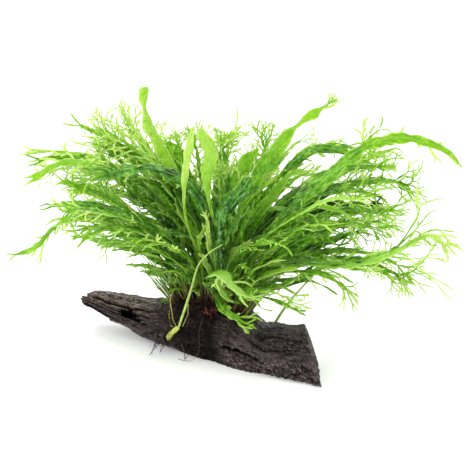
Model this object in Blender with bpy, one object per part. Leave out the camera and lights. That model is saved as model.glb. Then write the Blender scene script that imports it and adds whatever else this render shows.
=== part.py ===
"""Java fern with crested fronds, growing on a piece of driftwood.

Metres, +Z up. X runs to the right across the plant, Y runs away from the viewer.
The origin is on the flat underside of the wood, below the crown of the plant.
"""
import math

import bmesh
import bpy
import numpy as np
from mathutils import Matrix, Vector, noise
from mathutils.bvhtree import BVHTree

MM = 0.001

# ---- the driftwood: a short log that lies diagonally, its right end nearer ----
WOOD_TURN = math.radians(-30.0)      # the log's own length seen from above
WOOD_RINGS = 36
WOOD_SIDES = 24
# along the log: station, top height, underside height, half depth (mm)
WOOD_PROFILE = (
    (-122, 21.5, 17.5, 5.5),
    (-117, 24.0, 15.5, 9.0),
    (-104, 25.0, 12.5, 12.5),
    (-85, 24.0, 8.5, 15.5),
    (-65, 24.0, 5.0, 18.5),
    (-45, 27.0, 1.5, 21.0),
    (-20, 35.5, -2.0, 22.5),
    (0, 40.5, -4.5, 23.5),
    (20, 39.5, -5.0, 24.5),
    (38, 36.0, -5.0, 24.5),
    (52, 26.5, -5.0, 23.5),
    (66, 29.0, -5.0, 21.5),
    (92, 30.0, -5.0, 19.5),
)
END_FOOT, END_LEAN = 68.0, 0.33      # the right end's cut: X at the foot, slope inwards

# ---- the rhizome: a knobbly creeping stem along the top of the log (mm) ----
RHIZOME = ((-33, 17.5, 38.4), (-24, 13, 42.4), (-12, 6.5, 44.8), (1, -1, 44.2), (12, -8, 41.0),
           (21, -13.5, 36.6))
RHIZOME_RADIUS = 3.6
ACROSS = Vector((0.5, 0.866, 0.0))  # level, square to the rhizome, towards the back
SEAT_GAP = 0.35                       # fronds and roots stop this far from what bears them

# ---- the fronds, in rows from the front of the rhizome to its back ----
# row: name, angle of its seats round the rhizome, first and last seat along it, fronds
# frond: name, blade width, crest spread, facing, twist, route of the midrib (mm)
# facing: how far the blade's face turns from straight up to the viewer
ROWS = (
    ("front", -62, 0.26, 0.90, (
        ("low_left_front", 9, 14, 0.3, 15,
         ((-19, -24, 72), (-35, -46, 91), (-52, -66, 100), (-70, -82, 97))),
        ("narrow_bright", 8, 5, 1.6, 10,
         ((-15, -19, 77), (-24, -36, 110), (-24, -46, 142), (-18, -48, 178))),
        ("light_leaf_front", 9, 13, 0.0, -20,
         ((-9, -24, 66), (-4, -35, 75), (2, -45, 76), (8, -51, 70), (16, -57, 66), (28, -63, 63))),
        ("hanging_front", 7, 15, 0.0, 20,
         ((0, -14, 47), (4, -22, 43), (10, -30, 37), (18, -37, 34), (28, -43, 33))),
        ("wide_bright", 11, 7, 1.6, -10,
         ((0, -22, 85), (-6, -36, 118), (-9, -42, 142), (-7, -42, 161), (-14, -36, 174))),
        ("bluish_front", 10, 9, 0.6, 25,
         ((-1, -30, 88), (-3, -48, 121), (6, -60, 140), (25, -70, 149))),
        ("leaf_to_viewer", 10, 13, 0.3, -15,
         ((9, -28, 79), (22, -58, 102), (34, -80, 112), (44, -97, 110))),
        ("blade_front_right", 12, 16, 0.7, -15,
         ((19, -30, 70), (35, -52, 98), (54, -69, 117), (76, -81, 125))),
        ("lace_front_right", 7, 16, 0.2, 30,
         ((13, -33, 60), (28, -48, 66), (42, -57, 64), (56, -64, 59))),
    )),
    ("near", -29, 0.06, 0.94, (
        ("leaf_low_left", 10, 12, 0.4, 20,
         ((-23, -19, 70), (-46, -31, 92), (-69, -40, 102), (-88, -46, 97))),
        ("lace_low_left", 8, 18, 0.6, 25,
         ((-18, -14, 73), (-38, -34, 100), (-61, -52, 118), (-88, -66, 128), (-116, -72, 124))),
        ("inner_left", 11, 10, 1.1, 15,
         ((-12, -13, 86), (-25, -17, 117), (-38, -21, 141), (-56, -25, 152))),
        ("dark_arch", 12, 14, 1.0, 20,
         ((-5, -14, 83), (-11, -26, 119), (-25, -33, 138), (-48, -38, 148), (-71, -42, 146),
          (-92, -46, 138))),
        ("tall_right", 14, 10, 1.3, -15,
         ((9, -12, 83), (17, -20, 116), (27, -26, 145), (41, -32, 167), (59, -36, 184),
          (79, -40, 196))),
        ("big_arch_right", 12, 9, 0.9, 20,
         ((17, -14, 79), (37, -28, 109), (64, -40, 137), (85, -46, 159), (111, -52, 172),
          (137, -58, 169), (155, -60, 157))),
        ("lace_mid_front_right", 8, 17, 0.7, -20,
         ((25, -24, 88), (50, -40, 115), (79, -54, 132), (107, -62, 133))),
        ("long_low_right", 8, 13, 0.5, 30,
         ((20, -18, 69), (50, -36, 83), (81, -50, 86), (109, -62, 97), (136, -72, 116),
          (156, -76, 108))),
        ("lowest_right", 7, 16, 0.4, -20,
         ((20, -22, 61), (42, -35, 74), (66, -48, 78), (82, -56, 71), (95, -62, 62))),
    )),
    ("middle", 3, 0.03, 0.97, (
        ("lace_below_left", 7, 15, 0.5, -25,
         ((-32, 0, 60), (-51, -13, 88), (-76, -26, 109), (-107, -38, 117))),
        ("long_left", 9, 8, 0.6, 30,
         ((-32, 0, 67), (-65, -6, 95), (-92, -10, 103), (-112, -16, 102), (-128, -20, 87),
          (-149, -24, 80))),
        ("bright_left", 10, 12, 0.9, 15,
         ((-21, -2, 82), (-45, -10, 115), (-70, -14, 140), (-91, -18, 164))),
        ("lace_mid_left", 7, 18, 0.8, -30,
         ((-15, -3, 82), (-38, -14, 134), (-59, -20, 153), (-78, -26, 164), (-97, -32, 175))),
        ("tall_left", 9, 4, 1.4, 25,
         ((-11, -3, 82), (-29, -8, 128), (-43, -10, 159), (-51, -12, 177), (-51, -14, 197))),
        ("crest_top", 8, 18, 1.0, -15,
         ((-1, -3, 86), (3, -6, 123), (3, -8, 149), (-2, -12, 173))),
        ("inner_right", 10, 11, 0.9, 20,
         ((12, -2, 86), (28, -6, 110), (45, -8, 133), (62, -12, 143))),
        ("lace_mid_right", 9, 20, 0.6, -25,
         ((20, -2, 73), (53, -8, 97), (85, -16, 111), (111, -24, 112), (133, -30, 114))),
        ("lace_low_right", 8, 18, 0.4, 20,
         ((23, -4, 64), (60, -12, 78), (88, -20, 85), (114, -26, 80), (147, -36, 63))),
    )),
    ("far", 35, 0.03, 0.97, (
        ("wavy_left", 10, 15, 0.7, 25,
         ((-30, 9, 56), (-53, 16, 70), (-75, 20, 76), (-113, 28, 81))),
        ("fill_low_left", 9, 16, 0.5, -20,
         ((-28, 11, 69), (-53, 20, 91), (-83, 30, 108), (-119, 40, 117))),
        ("hook_left", 9, 9, 0.8, 20,
         ((-23, 10, 76), (-51, 20, 112), (-81, 28, 128), (-109, 34, 133), (-130, 38, 123),
          (-145, 40, 116))),
        ("crest_up_left", 7, 17, 0.9, -20,
         ((-16, 9, 82), (-35, 16, 123), (-56, 22, 148), (-74, 30, 176))),
        ("oval_left", 12, 8, 1.2, 15,
         ((-11, 9, 82), (-21, 16, 117), (-32, 20, 141), (-45, 22, 161))),
        ("leaf_centre", 10, 9, 1.3, 10,
         ((2, 8, 86), (6, 12, 118), (14, 13, 135), (25, 14, 147))),
        ("crest_centre", 8, 19, 1.0, -20,
         ((9, 10, 84), (21, 22, 119), (29, 30, 141), (33, 36, 165))),
        ("dark_arch_right", 10, 14, 0.7, 25,
         ((15, 10, 84), (35, 18, 117), (56, 24, 140), (78, 30, 144), (109, 36, 132))),
        ("mid_right_far", 9, 17, 0.6, 15,
         ((17, 10, 82), (46, 18, 111), (76, 24, 128), (105, 30, 131), (131, 34, 124))),
        ("dense_lace_right", 10, 22, 0.7, -15,
         ((20, 13, 75), (49, 21, 99), (80, 28, 114), (115, 34, 119), (154, 42, 111))),
        ("dark_blade_right", 11, 14, 0.5, 20,
         ((23, 7, 62), (56, 15, 75), (81, 22, 87), (105, 28, 96))),
    )),
    ("back", 67, 0.05, 0.97, (
        ("low_left_back", 9, 15, 0.0, 20,
         ((-27, 24, 60), (-46, 48, 79), (-78, 74, 84), (-104, 92, 76))),
        ("mid_left_lace_back", 9, 16, 0.2, -15,
         ((-27, 23, 65), (-51, 45, 92), (-84, 66, 101), (-119, 82, 98))),
        ("upper_left_back", 9, 12, 0.4, -20,
         ((-20, 23, 76), (-54, 40, 113), (-91, 52, 131), (-117, 58, 134), (-145, 62, 127))),
        ("tall_left_back", 9, 10, 0.6, 20,
         ((-13, 17, 76), (-24, 36, 111), (-38, 50, 137), (-53, 60, 150))),
        ("mid_left_back", 9, 14, -0.4, 0,
         ((-8, 22, 72), (-16, 50, 94), (-24, 78, 106), (-33, 100, 104))),
        ("lace_top_back", 7, 15, 0.5, -15,
         ((-1, 17, 80), (0, 34, 113), (5, 46, 144), (20, 56, 160))),
        ("mid_right_back", 9, 14, -0.4, 0,
         ((6, 20, 74), (13, 50, 95), (19, 80, 104), (28, 104, 101))),
        ("tall_right_back", 10, 12, 0.6, -20,
         ((11, 16, 79), (26, 38, 111), (46, 54, 136), (73, 66, 151))),
        ("arch_right_back", 10, 15, 0.2, 20,
         ((15, 18, 73), (45, 46, 98), (79, 66, 116), (114, 80, 130), (132, 88, 130))),
        ("mid_right_lace_back", 9, 16, 0.2, 15,
         ((18, 18, 70), (55, 42, 89), (95, 64, 99), (136, 82, 88))),
        ("low_right_back", 9, 15, 0.0, -20,
         ((20, 17, 60), (57, 46, 74), (96, 72, 78), (130, 90, 62))),
        ("low_stalk_back", 5, 10, 0.0, 20,
         ((32, 6, 44), (56, 22, 46), (72, 34, 55), (93, 46, 58))),
    )),
)
BLADE_THICKNESS = 0.7
STIPE_WIDTH = 1.7
# share of the length, share of the blade's width
BLADE_SHAPE = ((0.0, 0.0), (0.10, 0.10), (0.19, 0.22), (0.29, 0.46), (0.39, 0.70), (0.49, 0.88),
               (0.59, 1.0), (0.70, 0.95), (0.83, 0.62))
# side forks of the blade: share of the length, side, length as a share of the crest spread
SIDE_FORKS = ((0.59, 1, 0.8), (0.70, -1, 0.9))

# ---- the small shoot at the front, and the roots (mm) ----
SHOOT = ((-38, -4.5, 13.9), (-35.8, -6.5, 16.2), (-32.8, -7.9, 19.9), (-29.5, -9.5, 23.2))
SHOOT_RADIUS = 2.3
# from the shoot's end, the young stem goes up in front of the crown
YOUNG_STEM = ((-26, -17, 40), (-21, -24, 58), (-13, -31, 79), (-2, -37, 91), (10, -43, 99))
YOUNG_STEM_RADIUS = 0.9
# root: seat along the rhizome and round it, then its route down the wood
ROOT_RADIUS = 0.55
ROOTS = (
    ("root_1", 0.05, -118, ((-39, 3, 30), (-44, -3, 20), (-48, -6, 9), (-52, -9, 1.2))),
    ("root_2", 0.14, -112, ((-32, 2, 34), (-38, -5, 24), (-42, -8, 13), (-44.5, -9, 3.5))),
    ("root_3", 0.27, -108, ((-21, -8, 36), (-24, -13, 24), (-26, -14, 11), (-27, -16, 1.2))),
    ("root_4", 0.40, -108, ((-11, -14, 37), (-15, -18, 26), (-16, -19, 15), (-17, -20, 5))),
    ("root_5", 0.62, -108, ((5, -26, 37), (4, -29, 28), (6, -31, 19), (9, -33, 10))),
    ("root_6", 0.30, 112, ((-17, 25, 37), (-13, 32, 30), (-11, 35, 18), (-13, 36, 7))),
)

for old in list(bpy.data.objects):
    bpy.data.objects.remove(old, do_unlink=True)
fern = bpy.data.collections.new("java_fern_on_driftwood")
bpy.context.scene.collection.children.link(fern)


def material(name, colour, roughness):
    """A plain Principled material."""
    mat = bpy.data.materials.new(name)
    mat.use_nodes = True
    shader = mat.node_tree.nodes["Principled BSDF"]
    shader.inputs["Base Color"].default_value = (*colour, 1.0)
    shader.inputs["Roughness"].default_value = roughness
    shader.inputs["Metallic"].default_value = 0.0
    return mat


def finish(name, bm, mat):
    """Turn a bmesh built in millimetres into the named piece."""
    bmesh.ops.scale(bm, vec=(MM, MM, MM), verts=bm.verts)
    bmesh.ops.recalc_face_normals(bm, faces=bm.faces)
    if bm.calc_volume(signed=True) < 0:
        bmesh.ops.reverse_faces(bm, faces=bm.faces)
    mesh = bpy.data.meshes.new(name)
    bm.to_mesh(mesh)
    bm.free()
    mesh.materials.append(mat)
    piece = bpy.data.objects.new(name, mesh)
    fern.objects.link(piece)
    return piece


def smooth_route(points, steps=12):
    """A smooth curve through the points, as an array of close points."""
    pts = [np.array(p, float) for p in points]
    pts = [2 * pts[0] - pts[1]] + pts + [2 * pts[-1] - pts[-2]]
    curve = []
    for a, b, c, d in zip(pts, pts[1:], pts[2:], pts[3:]):
        for step in range(steps):
            t = step / steps
            curve.append(0.5 * (2 * b + (c - a) * t + (2 * a - 5 * b + 4 * c - d) * t * t
                                + (3 * b - a - 3 * c + d) * t ** 3))
    curve.append(pts[-2])
    return np.array(curve)


def along(curve, share):
    """The point at a share of a curve's length, and its direction; it runs on past the end."""
    steps = np.linalg.norm(np.diff(curve, axis=0), axis=1)
    walked = np.concatenate(([0.0], np.cumsum(steps)))
    here = share * walked[-1]
    ahead = min(here + 0.02 * walked[-1], walked[-1])
    behind = min(max(ahead - 0.05 * walked[-1], 0.0), here)
    point = np.array([np.interp(here, walked, curve[:, k]) for k in range(3)])
    front = np.array([np.interp(ahead, walked, curve[:, k]) for k in range(3)])
    rear = np.array([np.interp(min(behind, 0.97 * walked[-1]), walked, curve[:, k]) for k in range(3)])
    way = Vector(front - rear).normalized()
    return Vector(point) + way * max(here - walked[-1], 0.0), way


# ---------------------------------------------------------------- driftwood
def wood_size(station):
    """Top, underside and half depth of the log at a station along it."""
    stations = [row[0] for row in WOOD_PROFILE]
    return [float(np.interp(station, stations, [row[k] for row in WOOD_PROFILE])) for k in (1, 2, 3)]


def wood_relief(station, turn):
    """How far the weathered surface stands in or out; turn 0 is the back, -90 the underside."""
    grain = noise.noise(Vector((station * 0.018, 2.6 * math.cos(turn), 2.6 * math.sin(turn))))
    lump = noise.noise(Vector((station * 0.055, math.cos(turn) + 7.0, 1.3 * math.sin(turn))))
    relief = 2.4 * grain + 1.5 * lump
    angle = math.degrees(turn) % 360.0
    # a long split that parts the top splinter from the tongue below it, at the left end
    split = math.exp(-((angle - 181.0) / 13.0) ** 2) * min(max((-58 - station) / 14.0, 0.0), 1.0)
    pit = math.exp(-((angle - 186.0) / 19.0) ** 2 - ((station + 63.0) / 9.0) ** 2)
    crack = math.exp(-((angle - 205.0 - 0.25 * (station - 35)) / 9.0) ** 2 - ((station - 33) / 20.0) ** 2)
    return relief - 5.0 * split - 5.5 * pit - 2.6 * crack


def build_driftwood(mat):
    """A cylinder along the log, each ring moved out to the log's own section, and cut flat."""
    bm = bmesh.new()
    bmesh.ops.create_cone(bm, cap_ends=True, segments=WOOD_SIDES, radius1=1.0, radius2=1.0, depth=1.0,
                          matrix=Matrix.Rotation(math.pi / 2, 4, "Y"))
    long_edges = [e for e in bm.edges if abs(e.verts[0].co.x - e.verts[1].co.x) > 0.5]
    bmesh.ops.subdivide_edges(bm, edges=long_edges, cuts=WOOD_RINGS)
    for cap in [f for f in bm.faces if len(f.verts) == WOOD_SIDES]:
        for thickness in (0.36, 0.30):
            bmesh.ops.inset_region(bm, faces=[cap], thickness=thickness)
        bmesh.ops.poke(bm, faces=[cap])
    turned = Matrix.Rotation(WOOD_TURN, 4, "Z")
    first, last = WOOD_PROFILE[0][0], WOOD_PROFILE[-1][0]
    for vert in bm.verts:
        share = vert.co.x + 0.5
        spread = min(math.hypot(vert.co.y, vert.co.z), 1.0)
        turn = math.atan2(vert.co.z, vert.co.y)
        station = first + (last - first) * share
        top, low, depth = wood_size(station)
        middle, half = (top + low) / 2, (top - low) / 2
        cos, sin = math.cos(turn), math.sin(turn)
        relief = wood_relief(station, turn) * min(1.0, half / 9.0)
        across = math.copysign(abs(cos) ** 0.80, cos) * (depth + relief) * spread
        up = middle + math.copysign(abs(sin) ** 0.80, sin) * (half + relief) * spread
        # the right end is broken off on a slant that faces away from the viewer
        end_x = END_FOOT - END_LEAN * max(up, 0.0)
        end_station = (end_x - across * ACROSS.x) / math.cos(WOOD_TURN)
        station = first + (min(last, end_station) - first) * share
        if share < 0.001:
            station += 4.0 * (spread - 1.0) * -1.0
        if share > 0.999:
            station -= 2.2 * (1.0 - spread) + 0.9 * noise.noise(Vector((across, up, 3.0)) * 0.21)
        vert.co = turned @ Vector((station, across, up))
    cut = bmesh.ops.bisect_plane(bm, geom=bm.verts[:] + bm.edges[:] + bm.faces[:], plane_co=(0, 0, 0),
                                 plane_no=(0, 0, -1), clear_outer=True)
    rim = [e for e in cut["geom_cut"] if isinstance(e, bmesh.types.BMEdge)]
    bmesh.ops.contextual_create(bm, geom=rim)
    bmesh.ops.triangulate(bm, faces=bm.faces)
    wood = finish("driftwood", bm, mat)
    print("driftwood triangles", len(wood.data.polygons))
    return wood


# ---------------------------------------------------------------- rhizome and shoot
def rest_on(bark, points, radius):
    """Move the points so that a stem of this radius lies on the wood, a hair clear of it."""
    rested = []
    for point in points:
        near, normal, _, _ = bark.find_nearest(Vector(point))
        rested.append(tuple(near + normal * (radius + 2 * SEAT_GAP)))
    return rested


def knobbly_stem(name, points, radius, rings, sides, mat):
    """A cylinder bent along a route, with low knobs where old fronds fell off."""
    curve = smooth_route(points)
    bm = bmesh.new()
    bmesh.ops.create_cone(bm, cap_ends=True, segments=sides, radius1=1.0, radius2=1.0, depth=1.0)
    long_edges = [e for e in bm.edges if abs(e.verts[0].co.z - e.verts[1].co.z) > 0.5]
    bmesh.ops.subdivide_edges(bm, edges=long_edges, cuts=rings)
    for vert in bm.verts:
        share = vert.co.z + 0.5
        turn = math.atan2(vert.co.y, vert.co.x)
        point, way = along(curve, share)
        side = way.cross(Vector((0, 0, 1))).normalized()
        up = side.cross(way)
        ends = math.sqrt(max(1.0 - abs(2 * share - 1) ** 6, 0.0)) * 0.45 + 0.55
        knob = 1.0 - 0.10 * abs(math.sin(share * rings * 1.3 + turn * 1.5))
        vert.co = point + (side * math.cos(turn) + up * math.sin(turn)) * radius * ends * knob
    return finish(name, bm, mat)


# ---------------------------------------------------------------- fronds
def frond_frame(curve, share, facing, twist, lean):
    """Midrib point, direction across the blade and the way the blade's face looks."""
    point, way = along(curve, share)
    guide = Vector((0.0, -facing, 1.0)) - 0.45 * Vector((lean.x, lean.y, 0.0))
    look = (guide - way * guide.dot(way)).normalized()
    look = Matrix.Rotation(math.radians(twist) * (share - 0.35), 3, way) @ look
    return point, way.cross(look), look


def grow_lobe(bm, face, start, angle, width, length, forks):
    """Extrude a crest lobe from an end face, and fork it in two until it ends in tips."""
    tip = start + Vector((math.sin(angle), math.cos(angle))) * length
    if forks == 0:
        extrude_to(bm, face, tip, angle, 0.7)
        return
    face = extrude_to(bm, face, tip, angle, width)
    fan = min(0.40, 0.06 + 1.5 * abs(angle))
    for turn, part in zip((-1, 1), split_face(bm, face)):
        grow_lobe(bm, part, tip, angle + turn * fan, width * 0.62, length * 1.1, forks - 1)


def extrude_to(bm, face, centre, angle, width):
    """Extrude an end face, flat above and keeled below, to a new section of the frond."""
    new = bmesh.ops.extrude_discrete_faces(bm, faces=[face])["faces"][0]
    middle = new.calc_center_median()
    across = Vector((math.cos(angle), -math.sin(angle)))
    keeled = len(new.verts) == 3
    for vert in new.verts:
        under = vert.co.z < middle.z
        from_middle = Vector((vert.co.x - middle.x, vert.co.y - middle.y))
        side = 1.0 if from_middle.dot(across) > 0 else -1.0
        reach = 0.0 if under and keeled else side * width / 2
        thick = BLADE_THICKNESS * min(1.0, 0.45 + width / 12.0)
        vert.co = (centre.x + across.x * reach, centre.y + across.y * reach, -thick if under else 0.0)
    return new


def split_face(bm, face):
    """Part an end face in a left and a right half."""
    flat = [e for e in face.edges if abs(e.verts[0].co.z - e.verts[1].co.z) < 0.1]
    cut = bmesh.ops.subdivide_edges(bm, edges=flat, cuts=1)
    ends = [v for v in cut["geom_inner"] if isinstance(v, bmesh.types.BMVert)]
    if len(ends) == 1:
        ends.append(min(face.verts, key=lambda v: v.co.z))
    line = bmesh.ops.connect_verts(bm, verts=ends)["edges"][0]
    halves = [f for f in line.link_faces if len(f.verts) < 5]
    return sorted(halves, key=lambda f: f.calc_center_median().x)


def build_frond(name, seat, width, spread, facing, twist, route, mat):
    """Grow the frond flat from a small keeled prism, then bend it along its route."""
    curve = smooth_route([seat] + list(route))
    length = float(np.linalg.norm(np.diff(curve, axis=0), axis=1).sum())
    bm = bmesh.new()
    bmesh.ops.create_cone(bm, cap_ends=True, segments=3, radius1=1.0, radius2=1.0, depth=1.0,
                          matrix=Matrix.Rotation(-math.pi / 2, 4, "X"))
    foot_end = BLADE_SHAPE[1][0] * length
    low = min(v.co.z for v in bm.verts)
    for vert in bm.verts:
        keel = vert.co.z < low + 0.1
        vert.co = (0.0 if keel else math.copysign(STIPE_WIDTH / 2, vert.co.x),
                   0.0 if vert.co.y < 0 else foot_end, -1.5 if keel else 0.0)
    face = max(bm.faces, key=lambda f: f.calc_center_median().y)

    # the sections up the blade; where a side fork leaves, half of the section turns into it
    forks = {share: (side, reach) for share, side, reach in SIDE_FORKS}
    for share, wide in BLADE_SHAPE[2:]:
        face = extrude_to(bm, face, Vector((0.0, share * length)), 0.0, max(wide * width, STIPE_WIDTH))
        if share in forks:
            side, reach = forks[share]
            halves = split_face(bm, face)
            face, lobe = halves if side > 0 else reversed(halves)
            start = Vector((side * wide * width * 0.3, share * length))
            grow_lobe(bm, lobe, start, side * 0.75, 2.4, spread * reach * 0.5, 1)
    crest_start = BLADE_SHAPE[-1][0]
    crest = (1.0 - crest_start) * length
    for turn, part in zip((-1, 1), split_face(bm, face)):
        start = Vector((turn * width * 0.15, crest_start * length))
        grow_lobe(bm, part, start, turn * (0.06 + spread / 60.0), width * 0.32, crest * 0.45, 1)

    lean = Vector(curve[-1] - curve[0])
    lean.z = 0.0
    lean.normalize()
    for vert in bm.verts:
        share = vert.co.y / length
        point, across, look = frond_frame(curve, share, facing, twist, lean)
        vert.co = point + across * vert.co.x + look * vert.co.z
    return finish(name, bm, mat)


# ---------------------------------------------------------------- roots and the young stem
def thin_tube(name, points, radius, bark, mat):
    """A poly curve with a round bevel; points too near the wood are moved off its surface."""
    route = [Vector(p) for p in smooth_route(points, steps=2)]
    curve = bpy.data.curves.new(name, "CURVE")
    curve.dimensions = "3D"
    curve.bevel_depth = radius * MM
    curve.bevel_resolution = 1
    curve.use_fill_caps = True
    spline = curve.splines.new("POLY")
    spline.points.add(len(route) - 1)
    for k, spot in enumerate(route):
        if bark is not None:
            near, normal, _, gap = bark.find_nearest(spot)
            inside = (spot - near).dot(normal) < 0
            if inside or gap < radius + 0.8:
                spot = near + normal * (radius + 0.8)
            spot.z = max(spot.z, radius + 0.05)
        spline.points[k].co = (*(spot * MM), 1.0)
        spline.points[k].radius = 1.0 - 0.35 * k / len(route)
    curve.materials.append(mat)
    tube = bpy.data.objects.new(name, curve)
    fern.objects.link(tube)
    return tube


bark_brown = material("driftwood_bark", (0.045, 0.033, 0.029), 0.72)
rhizome_green = material("rhizome", (0.085, 0.11, 0.03), 0.6)
shoot_green = material("young_shoot", (0.36, 0.50, 0.08), 0.45)
root_brown = material("root", (0.09, 0.05, 0.03), 0.8)
leaf_greens = [material("frond_green_%d" % k, colour, 0.38) for k, colour in enumerate(
    ((0.13, 0.34, 0.03), (0.19, 0.45, 0.04), (0.09, 0.27, 0.05)))]

wood = build_driftwood(bark_brown)
surface = bmesh.new()
surface.from_mesh(wood.data)
bmesh.ops.scale(surface, vec=(1000, 1000, 1000), verts=surface.verts)
bark = BVHTree.FromBMesh(surface)
surface.free()

knobbly_stem("rhizome", RHIZOME, RHIZOME_RADIUS, 14, 10, rhizome_green)
shoot = rest_on(bark, SHOOT, SHOOT_RADIUS)
knobbly_stem("side_shoot", shoot, SHOOT_RADIUS, 5, 8, shoot_green)
shoot_end = Vector(shoot[-1])
stem_way = (Vector(YOUNG_STEM[0]) - shoot_end).normalized()
thin_tube("young_stem", [tuple(shoot_end + stem_way * 1.0)] + list(YOUNG_STEM),
          YOUNG_STEM_RADIUS, None, shoot_green)

crown = smooth_route(RHIZOME)


def seat_on_rhizome(share, angle, clear):
    """A point just off the rhizome, at a share of its length and an angle round it."""
    centre, _ = along(crown, share)
    out = math.radians(angle)
    away = ACROSS * math.sin(out) + Vector((0, 0, 1)) * math.cos(out)
    return centre + away * (RHIZOME_RADIUS + clear)


for root_name, share, angle, root_route in ROOTS:
    thin_tube(root_name, [seat_on_rhizome(share, angle, 0.9)] + list(root_route), ROOT_RADIUS, bark,
              root_brown)

count = 0
for row_name, seat_angle, first_seat, last_seat, fronds in ROWS:
    for k, (name, width, spread, facing, twist, route) in enumerate(fronds):
        share = first_seat + (last_seat - first_seat) * (k + 0.5) / len(fronds)
        seat = seat_on_rhizome(share, seat_angle, SEAT_GAP + 1.0)
        build_frond("frond_" + name, seat, width, spread, facing, twist, route,
                    leaf_greens[count % len(leaf_greens)])
        count += 1
print("fronds", count)
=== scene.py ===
# %% [markdown]
# # A crested java fern on driftwood
# The real thing is a shop plant: a short dark log with a small fern grown fast to it. The fern has no
# trunk. A knobbly creeping stem, the rhizome, lies on top of the wood, thin brown roots hold it there,
# and some fifty fronds rise from it in a tuft and lean out on all sides. Each frond is a narrow leaf
# whose margin and tip fork again and again into fine green antlers.
#
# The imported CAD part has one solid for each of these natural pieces. Here it is loaded as the frame, and
# each solid is then replaced by a detailed piece that follows the same route.

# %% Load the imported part
import math
import random

import bmesh
import bpy
import numpy as np
from mathutils import Matrix, Vector, noise
from mathutils.bvhtree import BVHTree


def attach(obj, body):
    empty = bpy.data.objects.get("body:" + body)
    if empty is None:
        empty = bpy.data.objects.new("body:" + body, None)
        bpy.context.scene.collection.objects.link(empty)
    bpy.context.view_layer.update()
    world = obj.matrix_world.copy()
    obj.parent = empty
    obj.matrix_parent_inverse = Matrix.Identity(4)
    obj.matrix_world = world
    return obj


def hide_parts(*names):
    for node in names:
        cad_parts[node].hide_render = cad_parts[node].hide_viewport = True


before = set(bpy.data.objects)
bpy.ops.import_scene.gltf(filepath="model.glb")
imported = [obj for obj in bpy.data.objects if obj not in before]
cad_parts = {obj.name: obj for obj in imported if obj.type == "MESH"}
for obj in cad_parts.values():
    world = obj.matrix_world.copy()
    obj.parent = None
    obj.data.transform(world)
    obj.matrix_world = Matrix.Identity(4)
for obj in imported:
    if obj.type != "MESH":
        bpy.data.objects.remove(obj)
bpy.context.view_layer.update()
MM = 0.001
# without a seed of its own noise_vector starts from the clock, and each run would grow another tuft
NOISE_SEED = 5
noise.seed_set(NOISE_SEED)

# %% [markdown]
# ## The camera
# The photograph looks a little down on the plant from the front, with a long lens, so near and far fronds
# have nearly the same scale. A camera can be turned by hand until it looks right, but here its distance,
# its raise and the half width that the picture takes in were worked out first, because the routes of the
# fronds were drawn with them. The focal length follows from the two lengths.

# %% Camera at the photograph's angle
LOOK_AT = Vector((0.0091, 0.0, 0.089))
CAMERA_RAISE = math.radians(18.0)
CAMERA_DISTANCE = 0.94
HALF_PICTURE = 0.1645
SENSOR = 36.0

camera = bpy.data.objects.new("camera", bpy.data.cameras.new("camera"))
camera.data.sensor_width = SENSOR
camera.data.lens = SENSOR / 2 * CAMERA_DISTANCE / HALF_PICTURE
back = Vector((0.0, -math.cos(CAMERA_RAISE), math.sin(CAMERA_RAISE)))
camera.location = LOOK_AT + back * CAMERA_DISTANCE
camera.rotation_euler = back.to_track_quat("Z", "Y").to_euler()
bpy.context.scene.collection.objects.link(camera)
bpy.context.scene.camera = camera
print("focal length", round(camera.data.lens, 1), "mm")

# %% [markdown]
# ## Helpers for materials
# A material is a tree of shader nodes. It could be put together by hand in the shader editor. Here each
# of a few small functions adds one node, wires its inputs and hands back its output socket, so that a
# material can be read from its first noise to its final colour.

# %% Helpers for materials
def new_material(name):
    """An empty node material and its shader and output."""
    mat = bpy.data.materials.new(name)
    mat.use_nodes = True
    nodes = mat.node_tree.nodes
    return mat, nodes["Principled BSDF"], nodes["Material Output"]


def add_node(mat, kind, inputs=None, **settings):
    """Add a shader node, set it up and wire its inputs; a value that is a socket is linked."""
    made = mat.node_tree.nodes.new("ShaderNode" + kind)
    for key, value in settings.items():
        setattr(made, key, value)
    for key, value in (inputs or {}).items():
        if isinstance(value, bpy.types.NodeSocket):
            mat.node_tree.links.new(value, made.inputs[key])
        else:
            made.inputs[key].default_value = value
    return made


def wire(mat, source, target):
    """Link one socket to another."""
    mat.node_tree.links.new(source, target)


def read_of(mat, name, kind="Fac"):
    """The socket of what the mesh carries under this name: Fac for a number, Vector for a place."""
    return add_node(mat, "Attribute", attribute_name=name).outputs[kind]


def math_of(mat, operation, *values, **settings):
    """The socket of a sum on numbers or sockets."""
    return add_node(mat, "Math", dict(enumerate(values)), operation=operation, **settings).outputs[0]


def range_of(mat, value, low, high, least=0.0, most=1.0):
    """The socket of a number that is least where value is low, and most where it is high."""
    limits = {"Value": value, "From Min": low, "From Max": high, "To Min": least, "To Max": most}
    return add_node(mat, "MapRange", limits).outputs[0]


def between_of(mat, factor, first, second):
    """The socket of a number between two numbers."""
    return add_node(mat, "Mix", {0: factor, 2: first, 3: second}).outputs[0]


def blend_of(mat, factor, first, second, kind="MIX"):
    """The colour socket of a mix of two colours or sockets."""
    parts = {0: factor, 6: first, 7: second}
    return add_node(mat, "Mix", parts, data_type="RGBA", blend_type=kind).outputs[2]


def ramp_of(mat, factor, stops):
    """The colour socket of a ramp with these (place, colour) stops; a plain number is a grey."""
    ramp = add_node(mat, "ValToRGB", {"Fac": factor})
    elements = ramp.color_ramp.elements
    while len(elements) < len(stops):
        elements.new(0.5)
    for element, (place, colour) in zip(elements, stops):
        element.position = place
        element.color = (*((colour,) * 3 if isinstance(colour, float) else colour), 1.0)
    return ramp.outputs["Color"]


def stretch_of(mat, where, scale):
    """The socket of a place that is drawn out along the axes with a small scale."""
    return add_node(mat, "Mapping", {"Vector": where, "Scale": scale}).outputs[0]


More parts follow.
